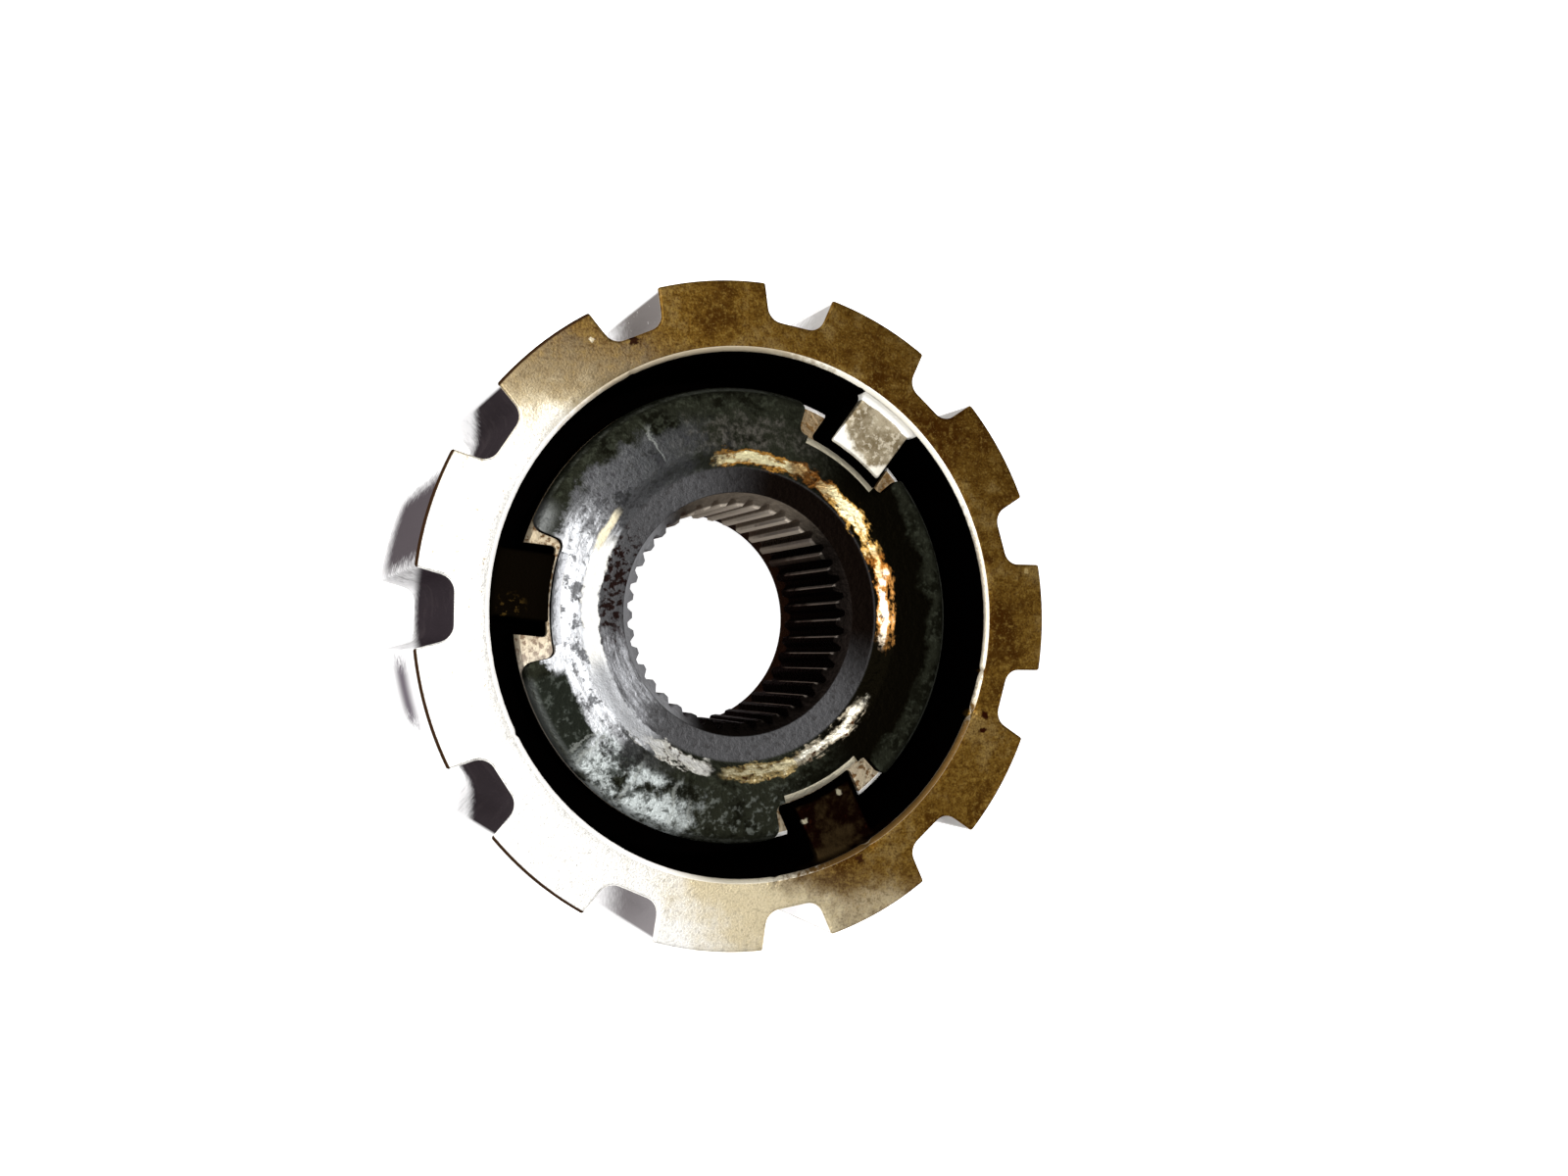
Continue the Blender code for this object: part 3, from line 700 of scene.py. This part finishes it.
# The splined hub. A dark forging with a shallow dish, three pockets with a milled ledge, a slot through
# each for its dog, and a broached involute spline. Its spigot sits in the ring's web.
SPLINE_TEETH = 39
SPLINE_PITCH = 20.631 * MM
SPLINE_ROOT = 21.341 * MM
SPLINE_TIP = 20.091 * MM
SPLINE_PRESSURE = math.radians(30.0)
PILOT = 19.55 * MM
LEAD_OUTER = 22.49 * MM
HUB_FACETS = 240
FLANGE_TOP = 44.9 * MM
DISH_FLOOR = 43.0 * MM
DISH_INNER = 26.391 * MM
DISH_OUTER = 30.991 * MM
DISH_STEPS = 14
FLANGE_RADIUS = 41.791 * MM
FLANGE_ROUND = 2.2 * MM
FLANGE_UNDER = 32.9 * MM
FLANGE_EDGE = 0.4 * MM
BARREL = 30.041 * MM
BARREL_FILLET = 2.0 * MM
SPIGOT = 27.041 * MM
SPIGOT_CHAMFER = 0.8 * MM
HUB_SHOULDER = 22.4 * MM
HUB_BACK = 14.6 * MM
TAIL_BACK = 8.6 * MM
TAIL_BORE = 21.4 * MM
TAIL_WALL = 3.6 * MM
TAIL_EDGE = 0.4 * MM
LEDGE = 42.5 * MM
LEDGE_CHAMFER = 0.8 * MM
LEDGE_INNER = 35.591 * MM
SLOT_END = 36.091 * MM
SLOT_PHASE = math.radians(53.3)
SLOT_HALF = 8.05 * MM
SLOT_CORNER = 0.8 * MM
POCKET_LEAD = math.radians(1.9)
POCKET_WIDTH = 20.5 * MM
POCKET_HALF = math.asin(POCKET_WIDTH / 2 / SLOT_END)
POCKET_CORNER = 1.5 * MM
POCKET_MOUTH = 2.2 * MM
POCKET_SINK = 6.0 * MM
BEVEL_WIDTH = 1.5 * MM
BEVEL_DROP = 0.9 * MM
BEVEL_LIP = 0.8 * MM
BEVEL_SPAN = 0.88
CUT = 2.0 * MM
BROKEN_EDGE = 0.14 * MM


def turned(name, profile, facets):
    """A closed profile of (radius, z) points spun about the axis."""
    bm = bmesh.new()
    corners = [bm.verts.new((radius, 0.0, z)) for radius, z in profile]
    edges = [bm.edges.new((corners[i - 1], corners[i])) for i in range(len(corners))]
    bmesh.ops.spin(bm, geom=edges, angle=math.tau, steps=facets, axis=(0, 0, 1), cent=(0, 0, 0))
    bmesh.ops.remove_doubles(bm, verts=bm.verts, dist=1e-6)
    return new_piece(name, bm)


def prisms(name, outlines, count, phase):
    """The loft of flat (outline, z) sections, repeated about the axis."""
    sections = [[(x, y, z) for x, y in outline] for outline, z in outlines]
    return lofts(name, sections, count, phase)


def hub_profile():
    profile = [(PILOT, DISH_FLOOR - LEAD_OUTER + PILOT), (LEAD_OUTER, DISH_FLOOR), (DISH_INNER, DISH_FLOOR)]
    for step in range(1, DISH_STEPS):
        share = step / DISH_STEPS
        rise = (1 - math.cos(math.pi * share)) / 2
        radius = DISH_INNER + (DISH_OUTER - DISH_INNER) * share
        profile.append((radius, DISH_FLOOR + (FLANGE_TOP - DISH_FLOOR) * rise))
    profile.append((DISH_OUTER, FLANGE_TOP))
    profile += arc((FLANGE_RADIUS - FLANGE_ROUND, FLANGE_TOP - FLANGE_ROUND), FLANGE_ROUND, QUARTER, 0.0, 8)
    profile += [(FLANGE_RADIUS, FLANGE_UNDER + FLANGE_EDGE), (FLANGE_RADIUS - FLANGE_EDGE, FLANGE_UNDER)]
    profile += arc((BARREL + BARREL_FILLET, FLANGE_UNDER - BARREL_FILLET), BARREL_FILLET, QUARTER, math.pi, 6)
    profile += [(BARREL, HUB_SHOULDER), (SPIGOT, HUB_SHOULDER), (SPIGOT, HUB_BACK + SPIGOT_CHAMFER)]
    tail = TAIL_BORE + TAIL_WALL
    profile += [(SPIGOT - SPIGOT_CHAMFER, HUB_BACK), (tail, HUB_BACK), (tail, TAIL_BACK + TAIL_EDGE)]
    profile += [(tail - TAIL_EDGE, TAIL_BACK), (TAIL_BORE + TAIL_EDGE, TAIL_BACK)]
    profile += [(TAIL_BORE, TAIL_BACK + TAIL_EDGE), (TAIL_BORE, HUB_BACK), (PILOT, HUB_BACK)]
    return profile


def space_half_angle(radius):
    """Half the angle that a tooth space spans at this radius, between involute flanks."""
    here = math.acos(SPLINE_PITCH * math.cos(SPLINE_PRESSURE) / radius)
    at_pitch = math.tan(SPLINE_PRESSURE) - SPLINE_PRESSURE
    return math.pi / (2 * SPLINE_TEETH) + at_pitch - (math.tan(here) - here)


def spline_bore():
    flank = [SPLINE_TIP + (SPLINE_ROOT - SPLINE_TIP) * share for share in (0.0, 0.12, 0.35, 0.6, 0.85, 1.0)]
    sides = [(radius, -1) for radius in flank] + [(radius, 1) for radius in reversed(flank)]
    outline = []
    for tooth in range(SPLINE_TEETH):
        middle = math.tau * tooth / SPLINE_TEETH
        for radius, side in sides:
            angle = middle + side * space_half_angle(radius)
            outline.append((radius * math.cos(angle), radius * math.sin(angle)))
    return prisms("spline bore", [(outline, HUB_BACK - CUT), (outline, FLANGE_TOP + CUT)], 1, 0.0)


def pockets():
    """The pockets: a turned recess down to the ledge, kept only inside the plan of each pocket."""
    along = Vector((math.cos(POCKET_HALF), math.sin(POCKET_HALF)))
    across = Vector((-along.y, along.x))
    rim = along * FLANGE_RADIUS
    flare = rim + across * 3 * POCKET_MOUTH
    far = FLANGE_RADIUS + 2 * CUT
    side = [(rim.x, rim.y, POCKET_MOUTH), (flare.x, flare.y, 0.0), (far, flare.y, 0.0)]
    mirrored = [(x, -y, radius) for x, y, radius in reversed(side)]
    wall = arc((0.0, 0.0), LEDGE_INNER, -POCKET_HALF, POCKET_HALF, 16)
    middle = [(x, y, 0.0) for x, y in wall[2:-2]]
    corners = mirrored + [(*wall[0], POCKET_CORNER)] + middle + [(*wall[-1], POCKET_CORNER)] + side
    outline = softened(corners, 8)
    depths = [(outline, LEDGE - POCKET_SINK), (outline, FLANGE_TOP + 2 * CUT)]
    plan = prisms("plan", depths, DOG_COUNT, SLOT_PHASE + POCKET_LEAD)
    start, end, top = LEDGE_INNER - CUT, FLANGE_RADIUS + CUT, FLANGE_TOP + CUT
    section = [(start, LEDGE), (start, top), (end, top), (end, LEDGE - LEDGE_CHAMFER - CUT),
               (FLANGE_RADIUS - LEDGE_CHAMFER, LEDGE)]
    body = turned("pockets", section, HUB_FACETS)
    cut(body, plan, "INTERSECT")
    return body


def bevels():
    """The slant between the flange's face and the middle of each pocket's wall."""
    reach = math.asin(SLOT_HALF / SLOT_END) * BEVEL_SPAN + POCKET_LEAD
    slope = BEVEL_WIDTH / BEVEL_DROP
    outer = arc((0.0, 0.0), LEDGE_INNER + 1.5 * MM, reach, -reach, 16)
    low = arc((0.0, 0.0), LEDGE_INNER + BEVEL_LIP, -reach, reach, 16)
    high = arc((0.0, 0.0), LEDGE_INNER - BEVEL_WIDTH - CUT * slope, -reach, reach, 16)
    depths = [(low + outer, FLANGE_TOP - BEVEL_DROP - BEVEL_LIP / slope), (high + outer, FLANGE_TOP + CUT)]
    return prisms("bevels", depths, DOG_COUNT, SLOT_PHASE + POCKET_LEAD)


def slots():
    spread = math.asin(SLOT_HALF / SLOT_END)
    outside = FLANGE_RADIUS + CUT
    wall = arc((0.0, 0.0), SLOT_END, -spread, spread, 12)
    corners = [(*wall[0], SLOT_CORNER)] + [(x, y, 0.0) for x, y in wall[1:-1]] + [(*wall[-1], SLOT_CORNER)]
    corners += [(outside, SLOT_HALF, 0.0), (outside, -SLOT_HALF, 0.0)]
    outline = softened(corners, 4)
    depths = [(outline, FLANGE_UNDER - CUT), (outline, FLANGE_TOP + CUT)]
    return prisms("slots", depths, DOG_COUNT, SLOT_PHASE)


hub = turned("splined_hub_forging", hub_profile(), HUB_FACETS)
for tool in (spline_bore, pockets, bevels, slots):
    cut(hub, tool())
edges = hub.modifiers.new("broken edges", "BEVEL")
edges.width = BROKEN_EDGE
edges.segments = 2
edges.limit_method = "ANGLE"
edges.angle_limit = math.radians(40.0)
keep_modifiers(hub)
smooth_faces(hub, 38.0)

# The finish of the hub. Dark forging skin with oil, with painted grey glare at the left, painted gold
# highlights in the dish, a pitted flat round the bore, milled ledges, and an oily spline.
FORGED = (0.016, 0.017, 0.011)
# Painted glare on the flange at the left
FLANGE_GLARE_GREY = (0.5, 0.505, 0.52)
LEDGE_STEEL = (0.46, 0.38, 0.26)
BORE_DARK = (0.008, 0.006, 0.005)
TAIL_BROWN = (0.02, 0.009, 0.005)
POCKET_DARK = (0.004, 0.002, 0.001)
BEVEL_STEEL = (0.66, 0.6, 0.45)
FLAT_GREY = (0.07, 0.069, 0.071)
PANEL_DARK = (0.013, 0.015, 0.011)
FLANGE_OIL = (0.0025, 0.002, 0.001)
GLARE = (1.0, 0.98, 0.92)
LEDGE_HEIGHTS = (41.0, 42.62)
BORE_RIM = (22.45, 22.3)
# Bearing, first and last radius, and half width of each scratch across the flange
SCRATCHES = [(119.0, 31.5, 38.0, 0.35), (218.5, 33.5, 41.0, 0.45), (233.5, 33.0, 40.5, 0.4),
             (247.0, 32.0, 40.0, 0.5), (252.0, 35.0, 41.0, 0.4), (216.0, 34.0, 40.5, 0.35)]
# Bearing and half width of each painted highlight on the dish's slope, with the colours of its outer band and
# its core
DISH_HIGHLIGHTS = [(84.0, 14.0, (0.42, 0.2, 0.035), (0.98, 0.88, 0.52)),
           (60.0, 9.0, (0.13, 0.05, 0.01), (0.42, 0.28, 0.12)),
           (38.0, 13.0, (0.42, 0.24, 0.06), (0.95, 0.84, 0.5)),
           (16.0, 7.0, (0.24, 0.09, 0.015), (0.7, 0.5, 0.22)),
           (2.0, 11.0, (0.35, 0.16, 0.04), (0.98, 0.92, 0.75)),
           (276.0, 14.0, (0.26, 0.19, 0.08), (0.66, 0.58, 0.36)),
           (306.0, 15.0, (0.3, 0.26, 0.19), (0.9, 0.86, 0.72)),
           (240.0, 13.0, (0.8, 0.78, 0.7), (1.0, 0.99, 0.94))]


def paint_flange(f, turned_marks):
    """The flange's face: dark forging skin, with painted glare at the left, and scratches."""
    f.cover(f.rises(f.clouds, 0.45, 0.85), (0.006, 0.006, 0.0035), 0.7)
    f.cover(f.meet(f.rises(f.specks, 0.5, 1.0), 0.6), (0.042, 0.046, 0.032))
    # Nearly black oil on the right, between the dish and the rim
    oily = f.meet(f.rises(f.ragged(f.radius, 4.0, f.clouds), 38.4, 36.4), f.sector(0.0, 62.0, 14.0))
    f.cover(oily, FLANGE_OIL, 0.5, 1.0)
    # Lighter veil at the top
    veil = f.meet(f.sector(98.0, 30.0, 14.0), f.within(f.ragged(f.radius, 6.0, f.clouds), 31.0, 35.5, 1.5))
    f.cover(f.meet(veil, f.rises(f.specks, 0.1, 1.0)), (0.06, 0.055, 0.046), 0.5)
    # Painted grey glare at the left and the lower left, with dark flecks
    reach = f.rises(f.ragged(f.radius, 5.0, f.clouds), 38.2, 35.4)
    glare_haze = f.meet(f.sector(172.0, 62.0, 14.0, f.ragged_bearing(24.0)), reach)
    f.cover(glare_haze, (0.052, 0.053, 0.054), 0.5)
    f.cover(f.meet(glare_haze, f.sector(168.0, 34.0, 16.0)), (0.1, 0.1, 0.104))
    f.cover(f.meet(glare_haze, f.rises(f.specks, 0.6, 1.0), 0.6), (0.15, 0.15, 0.15))
    grey_glare = f.meet(f.sector(186.0, 33.0, 9.0, f.ragged_bearing(20.0)), reach)
    f.cover(grey_glare, FLANGE_GLARE_GREY, 0.42, 0.7)
    f.cover(f.meet(grey_glare, f.rises(turned_marks, 0.35, 0.75)), (0.85, 0.87, 0.9), 0.4, 0.4)
    f.cover(f.meet(glare_haze, f.rises(f.clouds, 0.68, 0.85), 0.8), (0.03, 0.03, 0.032), 0.6)
    f.cover(f.meet(glare_haze, f.rises(f.specks, 0.25, 0.05), 0.7), (0.04, 0.038, 0.04), 0.6)
    flecks = f.meet(f.rises(f.ragged(f.specks, 0.6, f.clouds), 0.7, 0.95), f.rises(grey_glare, 0.5, 0.0), 0.7)
    f.cover(f.meet(glare_haze, flecks), (0.02, 0.02, 0.019))
    lower = f.meet(f.sector(233.0, 17.0, 5.0, f.ragged_bearing(14.0)), f.rises(f.radius, 32.0, 34.0))
    f.cover(f.meet(lower, f.rises(f.clouds, 0.75, 0.35)), (0.42, 0.45, 0.44), 0.45, 0.7)
    f.cover(f.meet(lower, f.rises(f.specks, 0.45, 0.15), 0.8), (0.04, 0.045, 0.04), 0.5)
    bottom = f.meet(f.sector(268.0, 22.0, 8.0, f.ragged_bearing(14.0)), f.rises(f.radius, 31.0, 34.0))
    f.cover(f.meet(bottom, f.rises(f.specks, 0.5, 1.0), 0.7), (0.1, 0.107, 0.095), 0.5)
    # Dark corner below the left pocket, and a pale one above it
    panel = f.meet(f.sector(206.5, 10.5, 1.5), f.rises(f.ragged(f.radius, 1.2, f.clouds), 34.4, 35.2))
    f.cover(panel, PANEL_DARK, 0.6, 0.9)
    f.cover(f.meet(panel, f.rises(f.specks, 0.55, 1.0), 0.7), (0.07, 0.078, 0.066))
    f.cover(f.meet(panel, f.rises(f.radius, 40.0, 41.2), 0.6), (0.16, 0.17, 0.16))
    corner = f.meet(f.sector(157.0, 5.0, 3.0), f.rises(f.ragged(f.radius, 2.0, f.clouds), 37.5, 40.0))
    f.cover(f.meet(corner, 0.7), (0.17, 0.175, 0.17), 0.5)
    for bearing, start, end, width in SCRATCHES:
        line = f.sector(bearing, width, width * 0.7, f.ragged_bearing(3.0))
        f.cover(f.meet(line, f.within(f.radius, start, end, 1.0), 0.5), (0.24, 0.25, 0.23), 0.45, 0.6)


def paint_flat(f, turned_marks):
    """The flat between the bore and the dish, pitted most at the left, with painted glare there."""
    flat = f.meet(f.within(f.radius, 21.5, 27.0, 0.3), f.rises(f.height, 42.0, 42.6))
    f.cover(flat, FLAT_GREY, 0.5, 0.9)
    f.cover(f.meet(flat, f.rises(f.specks, 0.4, 0.05), 0.5), (0.025, 0.023, 0.022))
    pits = f.meet(flat, f.sector(172.0, 28.0, 10.0), f.rises(f.ragged(f.specks, 0.5, f.clouds), 0.5, 0.25))
    f.cover(pits, (0.012, 0.006, 0.005))
    f.cover(f.meet(flat, f.sector(34.0, 62.0, 22.0)), (0.004, 0.0025, 0.0018), 0.5, 1.0)
    # Painted glare on the flat at the left, brightest along the turning marks
    flat_glare = f.meet(flat, f.sector(206.0, 18.0, 9.0, f.ragged_bearing(16.0)))
    f.cover(f.meet(flat_glare, f.rises(turned_marks, 0.0, 0.9), 0.9), (0.42, 0.425, 0.445), 0.4, 0.7)


def paint_dish(f, turned_marks):
    """Painted highlights on the dish's slope, gold with pale cores, drawn out along the turning, and painted
    glare on its left slope.
    """
    drawn = f.math("MULTIPLY_ADD", f.streaks(7.0, 0.7), 2.4, f.ragged(f.radius, 0.5, f.clouds))
    dish = f.within(f.ragged(drawn, 0.4), 28.9, 31.3, 0.3)
    core = f.within(f.ragged(drawn, 0.3), 29.5, 30.6, 0.35)
    # Painted gold highlights round the dish's slope, with paler cores
    for centre, half_width, film, bright in DISH_HIGHLIGHTS:
        patch = f.meet(dish, f.sector(centre, half_width, 3.5, f.ragged_bearing(10.0)))
        f.cover(patch, film, 0.34, 0.9)
        f.cover(f.meet(patch, f.rises(f.specks, 0.36, 0.14)), (0.04, 0.014, 0.003))
        f.cover(f.meet(patch, core, f.rises(f.clouds, 0.9, 0.6)), bright, 0.34, 0.9)
    slope = f.within(f.math("MULTIPLY_ADD", turned_marks, 0.8, f.ragged(f.radius, 0.6)), 27.4, 30.7, 0.3)
    f.cover(f.meet(slope, f.sector(176.0, 24.0, 5.0)), GLARE, 0.3, 0.0)
    thin = f.within(f.ragged(f.radius, 0.8, f.clouds), 29.0, 30.4, 0.3)
    f.cover(f.meet(thin, f.sector(150.0, 7.0, 3.0)), (0.95, 0.85, 0.6), 0.3, 0.3)
    f.cover(f.meet(slope, f.sector(214.0, 18.0, 6.0), 0.85), (0.62, 0.63, 0.65), 0.4, 0.6)


def paint_pockets(f):
    """Milled ledges of the pockets with a painted highlight on their outer edges, their dark walls, their
    bevels, and the painted highlight round the rim.
    """
    ledge = f.meet(f.rises(f.radius, 35.5, 35.7), f.within(f.height, *LEDGE_HEIGHTS, 0.04))
    f.cover(ledge, LEDGE_STEEL, 0.5, 0.8)
    f.cover(f.meet(ledge, f.rises(f.specks, 0.5, 0.2)), (0.16, 0.09, 0.04), 0.6)
    f.cover(f.meet(ledge, f.sector(210.0, 20.0, 10.0), 0.6), (0.75, 0.7, 0.62))
    f.cover(f.meet(ledge, f.sector(53.0, 30.0, 5.0), 0.6), (0.24, 0.14, 0.05))
    # Painted highlight on the outer edge of the ledges at the right
    ledge_end = f.meet(ledge, f.rises(f.radius, 40.85, 41.0), f.sector(350.0, 90.0, 5.0))
    f.cover(ledge_end, (0.98, 0.96, 0.92), 0.35, 0.3)
    wall = f.meet(f.rises(f.radius, 34.9, 35.3), f.within(f.height, 42.62, 44.3, 0.04))
    f.cover(f.meet(wall, f.rises(f.radius, 41.0, 40.0)), POCKET_DARK, 0.6, 1.0)
    bevel = f.meet(f.within(f.radius, 33.9, 35.75, 0.05), f.within(f.height, 43.9, 44.84, 0.04))
    f.cover(bevel, BEVEL_STEEL, 0.4, 0.8)
    f.cover(f.meet(bevel, f.sector(175.0, 30.0, 5.0)), (0.34, 0.345, 0.36), 0.42)
    # Painted highlight on the rim's rounding
    rim = f.meet(f.within(f.radius, 40.9, 41.4, 0.2), f.rises(f.height, 43.0, 43.4))
    f.cover(f.meet(rim, f.rises(f.clouds, 0.2, 0.8)), (0.1, 0.105, 0.085), 0.45)


def paint_spline(f):
    """Everything below the flange, painted black for old oil and the recess's shade, and the spline with its
    pale crests, painted highlights along their edges at the right, and painted glare on the tooth tips at the
    left.
    """
    below = f.meet(f.rises(f.height, 41.6, 41.2), f.rises(f.height, *reversed(REAR_START)))
    # Painted shade of the recess below the flange, with old oil, as near black
    f.cover(below, BLACK_OIL_AND_SHADE, 0.6, 1.0)
    rear = f.rises(f.height, *REAR_START)
    f.cover(f.meet(rear, f.rises(f.clouds, 0.6, 0.2)), (0.05, 0.045, 0.035))
    bore = f.rises(f.radius, *BORE_RIM)
    f.cover(bore, BORE_DARK, 0.5, 1.0)
    crest = f.meet(bore, f.rises(f.radius, 20.75, 20.35))
    tooth = f.math("WRAP", f.math("MULTIPLY", f.bearing, SPLINE_TEETH / 360), 1.0, 0.0)
    f.cover(f.meet(bore, f.sector(86.0, 34.0, 18.0), 0.8), (0.16, 0.13, 0.1), 0.5, 0.5)
    f.cover(f.meet(crest, f.sector(84.0, 38.0, 20.0), 0.9), (0.6, 0.52, 0.43), 0.5, 0.3)
    # Painted highlight along one edge of each crest at the right, fading deeper in
    lit_crest_edge = f.meet(crest, f.within(tooth, 0.6, 0.74, 0.03), f.sector(0.0, 70.0, 15.0))
    fading = f.rises(f.ragged(f.height, 14.0, f.clouds), 17.0, 30.0)
    f.cover(f.meet(lit_crest_edge, fading), (0.17, 0.145, 0.125), 0.5)
    # Painted glare on the tooth tips at the left
    tips = f.meet(bore, f.rises(f.height, 36.0, 40.0), f.sector(185.0, 55.0, 12.0))
    f.cover(tips, (0.25, 0.25, 0.26), 0.5, 0.3)
    # Plain brown tail of the bore behind the spline
    f.cover(f.meet(bore, f.rises(f.height, 14.6, 14.3)), TAIL_BROWN, 0.6, 0.6)


dark_forging = Finish("dark forged hub", FORGED, 0.6, 0.9, 170.0)
turning = dark_forging.streaks(5.0, 1.3)
paint_flange(dark_forging, turning)
paint_flat(dark_forging, turning)
paint_dish(dark_forging, turning)
paint_pockets(dark_forging)
paint_spline(dark_forging)
scale = dark_forging.math("MULTIPLY_ADD", dark_forging.specks, 1.4, dark_forging.grain)
dark_forging.put_on(hub, scale, 0.07 * MM)
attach(hub, "root")
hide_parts("splined_hub")

# The table, light and camera. A white table that keeps the gear's shadow, a broad soft lamp above the left,
# a weak one at the right, and the photograph's viewpoint.
TABLE_SIZE = 4.0
TABLE_GAP = 0.2 * MM
TABLE_WHITE = (0.9, 0.9, 0.9)
TABLE_GLOW = 0.75
ROOM_LIGHT = 0.45
LENS = 32.625
# Tilt of the gear's axis from the line of sight, and the lens's place from the front face, in units of 60 mm
CAMERA_TILT = (0.38645989, 0.04262358)
CAMERA_SHIFT = Vector((-0.08565465, -0.07435701, -4.23632296))
CAMERA_UNIT = 60.0 * MM


def table():
    bm = bmesh.new()
    bmesh.ops.create_grid(bm, x_segments=8, y_segments=8, size=TABLE_SIZE / 2)
    top = new_piece("table_top", bm)
    top.location.z = -TABLE_GAP
    material = bpy.data.materials.new("white table")
    material.use_nodes = True
    white = Nodes(material.node_tree)
    rays = white.add("LightPath").outputs
    seen = white.math("MAXIMUM", rays["Is Camera Ray"], rays["Is Glossy Ray"])
    seen = white.math("MAXIMUM", seen, rays["Is Transmission Ray"])
    values = {"Base Color": TABLE_WHITE, "Roughness": 0.9, "Emission Color": (1.0, 1.0, 1.0),
              "Emission Strength": white.math("MULTIPLY", seen, TABLE_GLOW)}
    for name, value in values.items():
        white.feed(white.tree.nodes["Principled BSDF"].inputs[name], value)
    top.data.materials.append(material)


def room():
    world = bpy.data.worlds.new("room")
    bpy.context.scene.world = world
    world.use_nodes = True
    air = Nodes(world.node_tree)
    seen = air.add("LightPath").outputs["Is Camera Ray"]
    background = air.tree.nodes["Background"].inputs
    air.feed(background["Color"], (1.0, 1.0, 1.0))
    air.feed(background["Strength"], air.put("MapRange", seen, 0.0, 1.0, ROOM_LIGHT, 1.0))


def soft_lamp(name, place, target, width, height, power):
    lamp = bpy.data.lights.new(name, "AREA")
    lamp.shape = "RECTANGLE"
    lamp.size = width
    lamp.size_y = height
    lamp.energy = power
    holder = bpy.data.objects.new(name, lamp)
    holder.location = place
    aim = Vector(target) - Vector(place)
    holder.rotation_euler = aim.to_track_quat("-Z", "Y").to_euler()
    bpy.context.scene.collection.objects.link(holder)


def camera():
    """The viewpoint of the photograph, above the gear and to its left."""
    lens = bpy.data.cameras.new("viewpoint")
    lens.lens = LENS
    lens.clip_start = 0.001
    lean, rise = CAMERA_TILT
    axis = Vector((math.sin(lean) * math.cos(rise), math.sin(rise), math.cos(lean) * math.cos(rise)))
    across = Vector((0.0, 1.0, 0.0)).cross(axis).normalized()
    turn = Matrix((across, axis.cross(across), axis))
    place = Vector((0.0, 0.0, RING_WIDTH)) - (turn @ CAMERA_SHIFT) * CAMERA_UNIT
    holder = bpy.data.objects.new("viewpoint", lens)
    holder.matrix_world = Matrix.Translation(place) @ turn.to_4x4()
    bpy.context.scene.collection.objects.link(holder)
    bpy.context.scene.camera = holder


table()
room()
soft_lamp("window", (-0.45, 0.1, 1.0), (-0.02, 0.0, 0.03), 1.1, 1.2, 18.0)
soft_lamp("fill", (0.9, -0.3, 0.7), (0.0, 0.0, 0.03), 0.6, 0.6, 2.0)
camera()
bpy.context.scene.view_settings.view_transform = "Standard"
